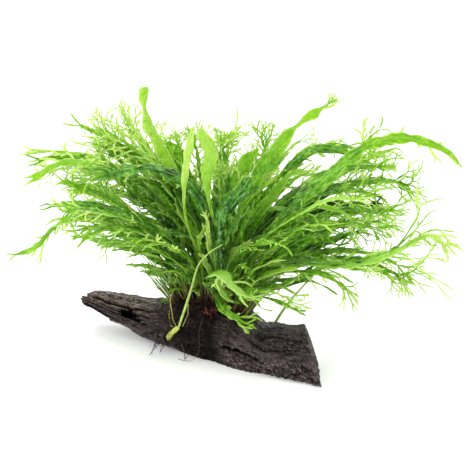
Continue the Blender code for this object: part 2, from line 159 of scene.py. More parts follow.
def noise_of(mat, where, scale, detail=4.0):
    """The value socket of a noise texture."""
    return add_node(mat, "TexNoise", {"Vector": where, "Scale": scale, "Detail": detail}).outputs[0]


def bump(mat, shader, height, strength, distance):
    """Lay small bumps over a shader, and return their socket."""
    bumps = add_node(mat, "Bump", {"Height": height, "Strength": strength, "Distance": distance})
    wire(mat, bumps.outputs[0], shader.inputs["Normal"])
    return bumps.outputs[0]


def set_inputs(shader, **values):
    """Set constant inputs of a shader; an underscore in a name stands for a space."""
    for name, value in values.items():
        shader.inputs[name.replace("_", " ")].default_value = value


# %% [markdown]
# ## Floor and light
# The plant was photographed in a white light tent: no hard shadow, bright green where light comes through
# the leaves. A pale floor and a white world give that. The floor glows a little, so that it comes out as
# white as the paper of the photograph.

# %% Floor
FLOOR_HALF = 5.0       # metres


def paper_white():
    """Pale matt floor with the faintest grain and a faint glow, as a lit table has."""
    mat, shader, _ = new_material("pale_floor")
    grain = noise_of(mat, add_node(mat, "TexCoord").outputs["Object"], 40.0)
    wire(mat, ramp_of(mat, grain, ((0.3, 0.92), (0.7, 0.94))), shader.inputs["Base Color"])
    set_inputs(shader, Roughness=0.9, Specular_IOR_Level=0.1, Emission_Color=(1.0, 1.0, 1.0, 1.0),
               Emission_Strength=0.14)
    return mat


bm = bmesh.new()
bmesh.ops.create_grid(bm, x_segments=4, y_segments=4, size=FLOOR_HALF)
floor_mesh = bpy.data.meshes.new("floor")
bm.to_mesh(floor_mesh)
bm.free()
floor_mesh.materials.append(paper_white())
floor = bpy.data.objects.new("floor", floor_mesh)
bpy.context.scene.collection.objects.link(floor)
print("floor", 2 * FLOOR_HALF, "m wide")

# %% [markdown]
# Three large area lamps add direction: one above, one low behind the plant, which makes the thin tips
# glow, and one at the front left, which the wet leaves mirror.

# %% World and lamps
world = bpy.data.worlds.new("light_tent")
world.use_nodes = True
world.node_tree.nodes["Background"].inputs["Color"].default_value = (1.0, 1.0, 1.0, 1.0)
world.node_tree.nodes["Background"].inputs["Strength"].default_value = 1.0
bpy.context.scene.world = world
bpy.context.scene.view_settings.view_transform = "Standard"

# lamp: name, place, size, power in watts
LAMPS = (
    ("lamp_above", (0.1, -0.25, 1.1), 0.9, 6.0),
    ("lamp_behind", (-0.15, 0.85, 0.75), 0.8, 6.0),
    ("lamp_front_left", (-0.75, -0.75, 0.8), 0.5, 5.0),
)
for lamp_name, place, size, power in LAMPS:
    lamp = bpy.data.objects.new(lamp_name, bpy.data.lights.new(lamp_name, "AREA"))
    lamp.data.size = size
    lamp.data.energy = power
    lamp.location = place
    lamp.rotation_euler = (Vector(place) - LOOK_AT).to_track_quat("Z", "Y").to_euler()
    bpy.context.scene.collection.objects.link(lamp)
print("lamps", [row[0] for row in LAMPS])

# %% [markdown]
# ## Shared helpers
# Everything that grows here follows a route: a few points in millimetres that a smooth curve passes
# through. The same routes made the solids, so a piece that is bent along its route lands on its solid.
# `stand_in` turns a finished bmesh into the piece that replaces one or more solids.

# %% Routes and pieces
def smooth_route(points, steps=12):
    """A smooth curve through the points, as an array of close points."""
    pts = [np.array(p, float) for p in points]
    pts = [2 * pts[0] - pts[1]] + pts + [2 * pts[-1] - pts[-2]]
    curve = []
    for a, b, c, d in zip(pts, pts[1:], pts[2:], pts[3:]):
        for step in range(steps):
            t = step / steps
            curve.append(0.5 * (2 * b + (c - a) * t + (2 * a - 5 * b + 4 * c - d) * t * t
                                + (3 * b - a - 3 * c + d) * t ** 3))
    curve.append(pts[-2])
    return np.array(curve)


def along(curve, share):
    """The point at a share of a curve's length, and its direction; it runs on past the end."""
    steps = np.linalg.norm(np.diff(curve, axis=0), axis=1)
    walked = np.concatenate(([0.0], np.cumsum(steps)))
    here = share * walked[-1]
    ahead = min(here + 0.02 * walked[-1], walked[-1])
    behind = min(max(ahead - 0.05 * walked[-1], 0.0), here)
    point = np.array([np.interp(here, walked, curve[:, k]) for k in range(3)])
    front = np.array([np.interp(ahead, walked, curve[:, k]) for k in range(3)])
    rear = np.array([np.interp(min(behind, 0.97 * walked[-1]), walked, curve[:, k]) for k in range(3)])
    way = Vector(front - rear).normalized()
    return Vector(point) + way * max(here - walked[-1], 0.0), way


def ramp(value, low, high):
    """0 below low, 1 above high and a smooth rise between them."""
    t = min(max((value - low) / (high - low), 0.0), 1.0)
    return t * t * (3 - 2 * t)


def stand_in(name, bm, mat, nodes):
    """Make the piece from a bmesh in millimetres, and let it stand for these CAD nodes."""
    bmesh.ops.scale(bm, vec=(MM, MM, MM), verts=bm.verts)
    mesh = bpy.data.meshes.new(name)
    bm.to_mesh(mesh)
    bm.free()
    mesh.materials.append(mat)
    mesh.shade_smooth()
    piece = bpy.data.objects.new(name, mesh)
    bpy.context.scene.collection.objects.link(piece)
    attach(piece, "root")
    if nodes:
        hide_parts(*nodes)
    return piece


# %% [markdown]
# ## The driftwood
# The log is a sunken root that has been dried and soaked many times. Its soft layers have gone, so the
# hard ones stand out as long ridges and ledges. The left end has split into a thin top splinter and a
# tongue below it, there is a dark knot hole beside the split, a long crack runs low on the front, and the
# lower right is rough and pitted. Sculpting would be quick but can't be repeated, so here a fine cylinder
# is swept to the log's own sections, and each feature is a small sum of its place along the log (the
# station) and its angle round it.

# %% The log's sections, as in its solid
# the log's turn about the vertical, and the way across it, to the back
WOOD_TURN = math.radians(-30.0)
ACROSS = Vector((0.5, 0.866, 0.0))
# along the log: station, top height, underside height, half depth (mm)
WOOD_PROFILE = (
    (-122, 21.5, 17.5, 5.5), (-117, 24.0, 15.5, 9.0), (-104, 25.0, 12.5, 12.5), (-85, 24.0, 8.5, 15.5),
    (-65, 24.0, 5.0, 18.5), (-45, 27.0, 1.5, 21.0), (-20, 35.5, -2.0, 22.5), (0, 40.5, -4.5, 23.5),
    (20, 39.5, -5.0, 24.5), (38, 36.0, -5.0, 24.5), (52, 26.5, -5.0, 23.5), (66, 29.0, -5.0, 21.5),
    (92, 30.0, -5.0, 19.5),
)
# the slanted right end: X of its foot in mm, and how far it leans back for each mm of height
END_FOOT, END_LEAN = 68.0, 0.33
LOG_RINGS, LOG_SIDES = 300, 176


def wood_size(station):
    """Top, underside and half depth of the log at a station along it."""
    stations = [row[0] for row in WOOD_PROFILE]
    return [float(np.interp(station, stations, [row[k] for row in WOOD_PROFILE])) for k in (1, 2, 3)]


def broad_relief(station, turn):
    """The relief that the solid has: grain, lumps, split, pit and crack. Turn 180 degrees is the front."""
    grain = noise.noise(Vector((station * 0.018, 2.6 * math.cos(turn), 2.6 * math.sin(turn))))
    lump = noise.noise(Vector((station * 0.055, math.cos(turn) + 7.0, 1.3 * math.sin(turn))))
    angle = math.degrees(turn) % 360.0
    split = math.exp(-((angle - 181.0) / 13.0) ** 2) * min(max((-58 - station) / 14.0, 0.0), 1.0)
    pit = math.exp(-((angle - 186.0) / 19.0) ** 2 - ((station + 63.0) / 9.0) ** 2)
    crack = math.exp(-((angle - 205.0 - 0.25 * (station - 35)) / 9.0) ** 2 - ((station - 33) / 20.0) ** 2)
    return 2.4 * grain + 1.5 * lump - 5.0 * split - 5.5 * pit - 2.6 * crack


# %% [markdown]
# The fine relief is what the solid is too coarse for: ridges of hard grain, ledges where a layer has
# flaked off, narrow cracks, and pits. The noise is sampled on a ring that is stretched along the log, so
# that its bumps come out as long fibres.

# %% The log's fine relief
# cracks: from station, to station, angle at the start and at the end, half width in degrees, depth in mm
CRACKS = (
    (14, 50, 183, 182, 1.3, 8.5), (22, 56, 190, 192, 1.3, 2.6), (-118, -60, 163, 158, 2.6, 2.4),
    (-116, -48, 184, 172, 2.0, 2.0), (-104, -50, 202, 196, 1.9, 1.6), (-60, -8, 214, 206, 1.6, 1.4),
    (-56, 4, 132, 140, 1.5, 1.4), (-48, -10, 158, 152, 1.5, 1.3), (24, 84, 150, 158, 1.6, 1.6),
    (40, 90, 196, 190, 1.5, 1.4), (58, 90, 168, 172, 1.5, 1.4), (-30, 12, 188, 196, 1.6, 1.6),
    (-90, 20, 40, 55, 1.7, 1.7), (-30, 80, 15, 5, 1.7, 1.7), (-110, -20, 330, 345, 1.7, 1.7),
    (-70, -20, 238, 232, 1.5, 1.4), (30, 90, 236, 230, 1.6, 1.6), (-112, -66, 104, 102, 1.6, 1.4),
    (-100, -52, 144, 138, 1.5, 1.7), (44, 92, 120, 128, 1.6, 1.7), (-20, 50, 70, 62, 1.6, 1.7),
)
DEEP_CRACK = 8.0       # cracks deeper than this run nearly straight, mm
# knot holes: station, angle, half length in mm, half height in degrees, depth in mm
KNOT_HOLES = ((-69, 144, 9.0, 18.0, 6.5), (-60, 160, 5.5, 9.0, 3.4), (-52, 166, 4.0, 5.0, 1.8))


def fibre(station, turn, along_scale, around_scale, shift=0.0):
    """Ridged noise drawn out along the log, from 0 in a groove to 1 on a ridge."""
    across, up = around_scale * math.cos(turn), around_scale * math.sin(turn)
    spot = Vector((station * along_scale + shift, across, up))
    return 1.0 - min(abs(noise.noise(spot)) * 2.6, 1.0)


def roughness_at(station, turn):
    """1 on the pitted lower right of the front, 0 elsewhere."""
    angle = math.degrees(turn) % 360.0
    return ramp(station, 0.0, 26.0) * ramp(angle, 168.0, 186.0) * (1.0 - ramp(angle, 262.0, 300.0))


def fine_relief(station, turn):
    """Ridges, ledges, cracks and pits in millimetres."""
    angle = math.degrees(turn) % 360.0
    left = 1.0 - ramp(station, -72.0, -40.0)
    rough = roughness_at(station, turn)
    wander = noise.noise(Vector((station * 0.05, 3.0, 1.0))) * 9.0
    wander += noise.noise(Vector((station * 0.21, 8.0, 1.0))) * 3.0
    ridges = 1.1 * fibre(station, turn, 0.020, 6.0) + 0.75 * fibre(station, turn, 0.045, 14.0, 9.0) - 1.1
    middle = ramp(station, -46.0, -20.0)
    relief = ridges * (1 - 0.6 * rough) * (1 - 0.65 * middle)
    # ledges: the surface drops in steps where layers have flaked off, mostly at the left
    layer = (angle + wander) / 19.0
    relief += (layer - math.floor(layer) - 0.5) * (0.6 + 1.6 * left) * (1 - rough)
    # the light top splinter stands proud of the tongue in front of it, and ends a little before it
    splinter = ramp(angle, 76.0, 88.0) * (1.0 - ramp(angle + 0.35 * wander, 114.0, 118.0)) * left
    proud, short = ramp(station, -117.0, -112.0), 1 - ramp(station, -115.0, -110.0)
    relief += 2.2 * splinter * proud - 1.6 * splinter * short
    relief -= 4.2 * left * math.exp(-((angle + 0.35 * wander - 121.0) / 4.5) ** 2)
    # the tongue's lower edge has a step where a sliver broke off
    sliver = (1.0 - ramp(station, -89.0, -86.5)) * ramp(angle, 186.0, 202.0)
    sliver *= 1.0 - ramp(angle, 262.0, 285.0)
    relief -= 2.3 * sliver
    for first, last, start, end, half, depth in CRACKS:
        if first < station < last:
            share = (station - first) / (last - first)
            drift = 0.25 if depth > DEEP_CRACK else 0.6
            off = (angle - start - (end - start) * share - drift * wander) / half
            if abs(off) < 3.0:
                relief -= depth * math.exp(-off * off) * min(6 * share, 6 * (1 - share), 1.0)
    # knot hole below the splinter, with a smaller one to its right
    for centre, at, wide, tall, depth in KNOT_HOLES:
        off = math.hypot((station - centre) / wide, (angle - at + 0.5 * wander) / tall)
        off += 0.35 * noise.noise(Vector((station * 0.35, 8.0 * math.cos(turn), 8.0 * math.sin(turn))))
        relief -= depth * (1.0 - ramp(off, 0.60, 1.10))
    spot = Vector((station * 0.36, 8.5 * math.cos(turn), 8.5 * math.sin(turn)))
    drawn_spot = Vector((station * 0.07, 9.5 * math.cos(turn), 9.5 * math.sin(turn)))
    relief += noise.fractal(spot, 0.75, 2.1, 5) * (0.55 + 0.65 * rough) * (1 - 0.8 * left)
    relief += noise.fractal(drawn_spot, 0.75, 2.1, 4) * 0.9 * left
    if rough > 0.0:
        near, _ = noise.voronoi(spot * 1.1)[:2]
        relief += rough * (1.0 - 2.6 * (1.0 - ramp(near[0], 0.10, 0.50)))
    return relief


# %% [markdown]
# The section is a superellipse, a little squarer than an ellipse. At the right the log was broken across,
# and the break is a splintered slant that faces away from the viewer. Last a plane cuts the flat foot on
# which the log stands. How deep each point lies below the ridges is kept as an attribute, for the painted
# shade in the grooves and the wear and painted highlights on the ridges in the material.

# %% Build the log
END_INSETS = 14        # rings of faces on each end, so that the break can be rough
SQUARENESS = 0.80      # exponent of the superellipse; 1 would be an ellipse


def end_back(turn, spread):
    """How far the split left end stands back from the tip of the tongue, in mm."""
    angle = math.degrees(turn) % 360.0
    splinter = 10.0 * ramp(angle, 66.0, 82.0) * (1.0 - ramp(angle, 117.0, 125.0))
    frayed = 1.5 + 1.7 * noise.noise(Vector((3.0 * math.cos(turn), 3.0 * math.sin(turn), 5.0)))
    return splinter * spread + frayed * spread + 3.0 * (1.0 - spread)


def build_log():
    """A cylinder swept to the log's sections and relief, and cut flat below; returned as a bmesh in mm."""
    bm = bmesh.new()
    bmesh.ops.create_cone(bm, cap_ends=True, segments=LOG_SIDES, radius1=1.0, radius2=1.0, depth=1.0,
                          matrix=Matrix.Rotation(math.pi / 2, 4, "Y"))
    long_edges = [e for e in bm.edges if abs(e.verts[0].co.x - e.verts[1].co.x) > 0.5]
    bmesh.ops.subdivide_edges(bm, edges=long_edges, cuts=LOG_RINGS)
    for cap in [f for f in bm.faces if len(f.verts) == LOG_SIDES]:
        for step in range(END_INSETS):
            bmesh.ops.inset_region(bm, faces=[cap], thickness=0.066)
        bmesh.ops.poke(bm, faces=[cap])
    relief_layer = bm.verts.layers.float.new("relief")
    rough_layer = bm.verts.layers.float.new("rough")
    grain_layer = bm.verts.layers.float_vector.new("log_place")
    turned = Matrix.Rotation(WOOD_TURN, 4, "Z")
    first, last = WOOD_PROFILE[0][0], WOOD_PROFILE[-1][0]
    for vert in bm.verts:
        share = vert.co.x + 0.5
        spread = min(math.hypot(vert.co.y, vert.co.z), 1.0)
        turn = math.atan2(vert.co.z, vert.co.y)
        begin = first + end_back(turn, spread)
        station = begin + (last - begin) * share
        top, low, depth = wood_size(station)
        middle, half = (top + low) / 2, (top - low) / 2
        cos, sin = math.cos(turn), math.sin(turn)
        fine = fine_relief(station, turn)
        relief = (broad_relief(station, turn) + fine) * min(1.0, half / 9.0)
        across = math.copysign(abs(cos) ** SQUARENESS, cos) * (depth + relief) * spread
        up = middle + math.copysign(abs(sin) ** SQUARENESS, sin) * (half + relief) * spread
        end_x = END_FOOT - END_LEAN * max(up, 0.0)
        end_station = (end_x - across * ACROSS.x) / math.cos(WOOD_TURN)
        station = begin + (min(last, end_station) - begin) * share
        if share < 0.001:
            station += 1.6 * noise.noise(Vector((across, up, 9.0)) * 0.5)
        if share > 0.999:
            fray = noise.noise(Vector((across, up, 3.0)) * 0.21) * 0.9
            fray += noise.noise(Vector((across, up, 5.0)) * 0.7)
            station -= 2.2 * (1.0 - spread) + fray * min(1.0, 6.0 * (1.0 - spread))
        vert[relief_layer] = fine
        vert[rough_layer] = roughness_at(station, turn)
        vert[grain_layer] = Vector((station, across, up))
        vert.co = turned @ Vector((station, across, up))
    cut = bmesh.ops.bisect_plane(bm, geom=bm.verts[:] + bm.edges[:] + bm.faces[:], plane_co=(0, 0, 0),
                                 plane_no=(0, 0, -1), clear_outer=True)
    rim = [e for e in cut["geom_cut"] if isinstance(e, bmesh.types.BMEdge)]
    bmesh.ops.contextual_create(bm, geom=rim)
    bmesh.ops.recalc_face_normals(bm, faces=bm.faces)
    if bm.calc_volume(signed=True) < 0:
        bmesh.ops.reverse_faces(bm, faces=bm.faces)
    print("log faces", len(bm.faces), "relief from", round(min(v[relief_layer] for v in bm.verts), 1),
          "to", round(max(v[relief_layer] for v in bm.verts), 1), "mm")
    return bm


log = build_log()
bark = BVHTree.FromBMesh(log)

# %% [markdown]
# ### Wood finish
# Soaked driftwood is nearly black, with greyish ridges, partly dried wood and partly a painted highlight,
# a browner top splinter, and a trace of purple on the smooth middle. A wave texture would give a grain
# that is too even. Noise that is stretched along the log reads as fibre, so the pattern reads the log's own
# coordinates: far along it, the noise hardly changes. The relief attribute darkens the grooves with painted
# shade and greys the ridges, partly as wear and partly as a painted highlight. Round the middle of the log,
# below the plant, a painted shadow darkens the wood.

# %% Material of the driftwood
def driftwood_finish():
    """Dark wet wood: streaks, a light splinter, specks, black grooves and a dark middle.

    The grooves hold painted shade, the middle a painted shadow below the plant, and the grey specks
    are partly wear and partly painted highlight.
    """
    mat, shader, _ = new_material("soaked_driftwood")
    place = read_of(mat, "log_place", "Vector")
    relief, rough = read_of(mat, "relief"), read_of(mat, "rough")
    parts = add_node(mat, "SeparateXYZ", {"Vector": place}).outputs
    along_log, height = parts["X"], parts["Z"]
    drawn_out = stretch_of(mat, place, (0.035, 1.0, 1.0))
    drawn_less = stretch_of(mat, place, (0.16, 1.0, 1.0))
    drawn_least = stretch_of(mat, place, (0.45, 1.0, 1.0))
    streaks = noise_of(mat, drawn_out, 0.50, 5.0)
    strands = noise_of(mat, drawn_out, 2.6, 3.0)
    patches = noise_of(mat, place, 0.055, 4.0)
    # specks: drawn out at the left, round on the rough part, hardly any on the smooth patches
    smoother = range_of(mat, along_log, -52.0, -26.0, 0.0, 0.85)
    speckled = math_of(mat, "MAXIMUM", rough, smoother)
    grains, lumps = noise_of(mat, drawn_less, 1.1, 7.0), noise_of(mat, drawn_least, 0.95, 5.0)
    calm = range_of(mat, patches, 0.42, 0.56)
    sleek = math_of(mat, "SUBTRACT", calm, rough, use_clamp=True)
    evened = math_of(mat, "MULTIPLY", sleek, smoother)
    specks = between_of(mat, evened, between_of(mat, speckled, grains, lumps), 0.53)
    # near-black streaks, with patches of a purple tint
    dark = ramp_of(mat, streaks, ((0.30, (0.0032, 0.0022, 0.0024)), (0.50, (0.016, 0.0092, 0.0099)),
                                  (0.70, (0.070, 0.045, 0.048))))
    purple = ramp_of(mat, patches, ((0.40, 0.0), (0.58, 0.85)))
    colour = blend_of(mat, purple, dark, (0.052, 0.030, 0.033, 1.0))
    # at the left a light lined splinter on top, and below it a smooth purple-grey tongue
    left = range_of(mat, along_log, -44.0, -64.0)
    ledge = math_of(mat, "MULTIPLY", left, range_of(mat, height, 20.0, 22.3))
    tongue = math_of(mat, "MULTIPLY", math_of(mat, "SUBTRACT", left, ledge), 0.75)
    colour = blend_of(mat, tongue, colour, (0.098, 0.074, 0.076, 1.0))
    lines = ramp_of(mat, noise_of(mat, drawn_out, 1.5, 3.0), (
        (0.44, (0.055, 0.033, 0.020)), (0.54, (0.13, 0.088, 0.055)), (0.62, (0.38, 0.32, 0.22))))
    colour = blend_of(mat, ledge, colour, lines)
    # the grain is plain to see at the left and hardly shows on the smooth middle
    plain = range_of(mat, along_log, -48.0, -22.0, 0.95, 0.28)
    fibres = ramp_of(mat, strands, ((0.36, 0.26), (0.62, (1.45, 1.38, 1.35))))
    colour = blend_of(mat, plain, colour, fibres, "MULTIPLY")
    # specks grey on the ridges, partly wear and partly painted highlight, and grooves black with painted
    # shade
    flecks = ramp_of(mat, specks, ((0.48, 0.10), (0.62, 1.0)))
    wear_and_highlight = math_of(mat, "MULTIPLY", range_of(mat, relief, -0.4, 2.2), flecks)
    colour = blend_of(mat, wear_and_highlight, colour, (0.350, 0.268, 0.272, 1.0))
    groove_shade = range_of(mat, relief, -0.6, -1.9)
    colour = blend_of(mat, groove_shade, colour, (0.0025, 0.002, 0.002, 1.0))
    # hair cracks: thin lines where a drawn-out noise passes its middle value
    off_middle = math_of(mat, "ABSOLUTE", math_of(mat, "ADD", noise_of(mat, drawn_less, 0.30, 6.0), -0.5))
    hair = range_of(mat, off_middle, 0.020, 0.004, 0.0, 0.85)
    colour = blend_of(mat, hair, colour, (0.003, 0.002, 0.002, 1.0))
    # painted shadow below the plant and its roots: the log darkened round its middle, with a ragged rim
    ragged = math_of(mat, "ABSOLUTE", math_of(mat, "MULTIPLY_ADD", streaks, 16.0, along_log))
    shadow_below_plant = range_of(mat, ragged, 27.0, 13.0, 0.0, 0.95)
    wire(mat, blend_of(mat, shadow_below_plant, colour, (0.006, 0.004, 0.004, 1.0)), shader.inputs["Base Color"])
    wire(mat, ramp_of(mat, specks, ((0.35, 0.62), (0.62, 0.34))), shader.inputs["Roughness"])
    # the specks are glossy; grooves, cracks and the painted shadow get no gloss, so the painted shade stays
    # dark
    dull = math_of(mat, "MAXIMUM", math_of(mat, "MAXIMUM", shadow_below_plant, groove_shade), hair)
    sheen = ramp_of(mat, specks, ((0.44, 0.08), (0.62, 0.85)))
    wire(mat, blend_of(mat, dull, sheen, (0.02, 0.02, 0.02, 1.0)), shader.inputs["Specular IOR Level"])
    bump(mat, shader, math_of(mat, "MULTIPLY_ADD", specks, 1.6, strands), 1.0, 0.0012)
    return mat


driftwood = stand_in("driftwood_log", log, driftwood_finish(), ["driftwood"])
print(driftwood.name, "faces", len(driftwood.data.polygons))

# %% [markdown]
# ## Rhizome, shoot and young stem
# The rhizome is as thick as a pencil, dark green-brown, and knobbly with the scars and stubs of old
# stalks. The solid is a bent cylinder. The piece is the same cylinder with more rings, deeper knobs and a
# coat of narrow dark scales, each pulled out of the surface as one extruded and shrunk face.

# %% Knobbly stems
RHIZOME = ((-33, 17.5, 38.4), (-24, 13, 42.4), (-12, 6.5, 44.8), (1, -1, 44.2), (12, -8, 41.0),
           (21, -13.5, 36.6))
RHIZOME_RADIUS = 3.6
SHOOT = ((-38, -4.5, 13.9), (-35.8, -6.5, 16.2), (-32.8, -7.9, 19.9), (-29.5, -9.5, 23.2))
SHOOT_RADIUS = 2.3
SEAT_GAP = 0.35        # between a seat and the surface it sits on, mm
crown = smooth_route(RHIZOME)


def bent_stem(route, radius, rings, sides, knob_depth, seed, taper=0.0, greener=0.0):
    """A cylinder bent along a route, with rounded ends and knobs; a bmesh in mm.

    Taper is the share of its radius that it loses, and greener the growth of its age towards the end.
    """
    curve = smooth_route(route)
    bm = bmesh.new()
    bmesh.ops.create_cone(bm, cap_ends=True, segments=sides, radius1=1.0, radius2=1.0, depth=1.0)
    long_edges = [e for e in bm.edges if abs(e.verts[0].co.z - e.verts[1].co.z) > 0.5]
    bmesh.ops.subdivide_edges(bm, edges=long_edges, cuts=rings)
    for cap in [f for f in bm.faces if len(f.verts) == sides]:
        bmesh.ops.inset_region(bm, faces=[cap], thickness=0.4)
        bmesh.ops.poke(bm, faces=[cap])
    hue = bm.verts.layers.float.new("age")
    for vert in bm.verts:
        share = vert.co.z + 0.5
        spread = min(math.hypot(vert.co.x, vert.co.y), 1.0)
        turn = math.atan2(vert.co.y, vert.co.x)
        point, way = along(curve, share)
        side = way.cross(Vector((0, 0, 1))).normalized()
        up = side.cross(way)
        ends = math.sqrt(max(1.0 - abs(2 * share - 1) ** 6, 0.0)) * 0.45 + 0.55
        ends *= 1.0 - taper * share
        knob = noise.noise(Vector((share * 26.0 + seed, 1.7 * math.cos(turn), 1.7 * math.sin(turn))))
        scar = noise.noise(Vector((share * 90.0 + seed, 5.0 * math.cos(turn), 5.0 * math.sin(turn))))
        reach = radius * ends * (0.97 + knob_depth * knob + 0.35 * knob_depth * scar) * spread
        vert.co = point + (side * math.cos(turn) + up * math.sin(turn)) * reach
        vert[hue] = 0.5 + 0.5 * knob + 0.3 * scar + greener * (share - 0.4)
    return bm


def add_scales(bm, every, length, seed):
    """Pull some faces of a stem out into narrow scales."""
    draw = random.Random(seed)
    for face in [f for f in bm.faces[:] if len(f.verts) == 4 and draw.random() < every]:
        normal = face.normal.copy()
        for reach, size in ((0.35, 0.75), (0.40, 0.55), (0.25, 0.25)):
            out = bmesh.ops.extrude_discrete_faces(bm, faces=[face])["faces"][0]
            middle = out.calc_center_median()
            lean = Vector((draw.uniform(-1, 1), draw.uniform(-1, 1), draw.uniform(-0.6, 0.9)))
            shift = (normal + 0.7 * lean).normalized() * length * reach
            for vert in out.verts:
                vert.co = middle + (vert.co - middle) * size + shift
            face = out


# %% [markdown]
# The rhizome's finish goes from dark brown to olive where it is young. The small shoot at the front is
# fresh yellow-green with a brown foot and scars, and young stalks are a lighter green. All are the same
# mottled finish with other colours, so one function makes them, from a table.

# %% Materials of the stems
def stem_finish(name, stops, scale, roughness, gloss=0.5):
    """Mottled stem: noise over the age attribute picks the colour, from old to young."""
    mat, shader, _ = new_material(name)
    where = add_node(mat, "TexCoord").outputs["Object"]
    both = math_of(mat, "ADD", read_of(mat, "age"), noise_of(mat, where, scale, 5.0))
    wire(mat, ramp_of(mat, math_of(mat, "MULTIPLY", both, 0.5), stops), shader.inputs["Base Color"])
    bump(mat, shader, noise_of(mat, where, scale * 4.0), 0.6, 0.0003)
    set_inputs(shader, Roughness=roughness, Specular_IOR_Level=gloss)
    return mat


# finish: its colours with their places, scale of the mottle, roughness
STEM_FINISHES = {
    "rhizome_brown": (((0.30, (0.012, 0.009, 0.006)), (0.50, (0.045, 0.040, 0.014)),
                       (0.70, (0.10, 0.13, 0.028))), 260.0, 0.55),
    "shoot_green": (((0.28, (0.07, 0.045, 0.015)), (0.44, (0.36, 0.38, 0.05)),
                     (0.70, (0.56, 0.66, 0.10))), 420.0, 0.38),
    "stalk_green": (((0.30, (0.20, 0.28, 0.05)), (0.50, (0.34, 0.50, 0.09)),
                     (0.70, (0.48, 0.66, 0.17))), 200.0, 0.42),
}
finish = {name: stem_finish(name, *row) for name, row in STEM_FINISHES.items()}
print("finishes", list(finish))

# %% [markdown]
# The rhizome keeps its solid's route to the millimetre, because all fronds are seated on it. Its scales
# are pulled out once it is bent.

# %% Rhizome
rhizome = bent_stem(RHIZOME, RHIZOME_RADIUS, 120, 32, 0.16, 2.0)
add_scales(rhizome, 0.06, 1.6, 5)
rhizome = stand_in("creeping_rhizome", rhizome, finish["rhizome_brown"], ["rhizome"])
print("rhizome faces", len(rhizome.data.polygons))

# %% [markdown]
# The shoot lies against the front of the log. Its points are laid on the bark, as the solid's were: the
# nearest point of the wood is found with a BVH tree, and the stem's centre is put one radius off it.

# %% Shoot
def rest_on(points, clear):
    """Move points so that they are this far off the wood."""
    rested = []
    for point in points:
        near, normal, _, _ = bark.find_nearest(Vector(point))
        rested.append(tuple(near + normal * clear))
    return rested


# the points where the solid's shoot came to rest, kept so that the young stem starts at the solid's end
SHOOT_AT_REST = rest_on(SHOOT, SHOOT_RADIUS + 2 * SEAT_GAP)
# the piece is a little shorter and slimmer than its solid, and ends where the solid ends
SHORTER, SLIMMER = 0.45, 0.80
shoot_route = [tuple(Vector(a).lerp(Vector(b), SHORTER)) for a, b in zip(SHOOT_AT_REST, SHOOT_AT_REST[1:])]
shoot_route.append(SHOOT_AT_REST[-1])
shoot = bent_stem(shoot_route, SHOOT_RADIUS * SLIMMER, 44, 28, 0.34, 11.0, 0.1, 0.7)
shoot = stand_in("front_shoot", shoot, finish["shoot_green"], ["side_shoot"])
print("shoot from", [round(v, 1) for v in SHOOT_AT_REST[0]], "to", [round(v, 1) for v in SHOOT_AT_REST[-1]])

# %% [markdown]
# ## Roots
# Java fern holds on with brown wiry roots no thicker than thread. They come out of the rhizome, branch,
# and creep over the bark; some hang free under the log. A curve with a round bevel is the natural tool
# for a thread. Each strand here creeps in short strides, and after each stride it is put back on the
# bark, a thread's radius off it. All strands that belong to one root become a single mesh.

# %% Threads on the bark
ROOT_RADIUS = 0.55      # of the solids, mm
# root: its seat along the rhizome and round it, and its route down the wood
ROOTS = (
    ("root_1", 0.05, -118, ((-39, 3, 30), (-44, -3, 20), (-48, -6, 9), (-52, -9, 1.2))),
    ("root_2", 0.14, -112, ((-32, 2, 34), (-38, -5, 24), (-42, -8, 13), (-44.5, -9, 3.5))),
    ("root_3", 0.27, -108, ((-21, -8, 36), (-24, -13, 24), (-26, -14, 11), (-27, -16, 1.2))),
    ("root_4", 0.40, -108, ((-11, -14, 37), (-15, -18, 26), (-16, -19, 15), (-17, -20, 5))),
    ("root_5", 0.62, -108, ((5, -26, 37), (4, -29, 28), (6, -31, 19), (9, -33, 10))),
    ("root_6", 0.30, 112, ((-17, 25, 37), (-13, 32, 30), (-11, 35, 18), (-13, 36, 7))),
)
FLOOR_GAP = 0.05        # threads stay this far above the floor, mm
THREAD_TAPER = 0.55     # share of its radius that a thread loses towards its end


def drawn(draw, *limits):
    """A vector whose parts are drawn one by one between their limits."""
    return Vector([draw.uniform(*pair) for pair in limits])


def seat_on_rhizome(share, angle, clear):
    """A point just off the rhizome, at a share of its length and an angle round it."""
    centre, _ = along(crown, share)
    out = math.radians(angle)
    away = ACROSS * math.sin(out) + Vector((0, 0, 1)) * math.cos(out)
    return centre + away * (RHIZOME_RADIUS + clear)


def off_the_bark(spot, clear):
    """The same point, or the nearest one that is this far off the wood and the floor."""
    near, normal, _, gap = bark.find_nearest(spot)
    if (spot - near).dot(normal) < 0 or gap < clear:
        spot = near + normal * clear
    spot.z = max(spot.z, clear + FLOOR_GAP)
    return spot


def creep(start, way, strides, stride, clear, draw, wander=0.5, down=0.15, free=0.0):
    """A strand that creeps over the bark from start; after the share `free` it may leave the bark."""
    spot, way = Vector(start), Vector(way).normalized()
    strand = [spot.copy()]
    for k in range(strides):
        stray = drawn(draw, (-1, 1), (-1, 1), (-1, 1))
        way = (way + stray * wander + Vector((0, 0, -down))).normalized()
        spot = spot + way * stride
        if free and k > free * strides:
            spot = off_the_bark(spot, clear)
        else:
            near, normal, _, _ = bark.find_nearest(spot)
            spot = near + normal * clear
            way = (way - normal * way.dot(normal) * 0.8).normalized()
        spot.z = max(spot.z, clear + FLOOR_GAP)
        strand.append(spot.copy())
    return strand


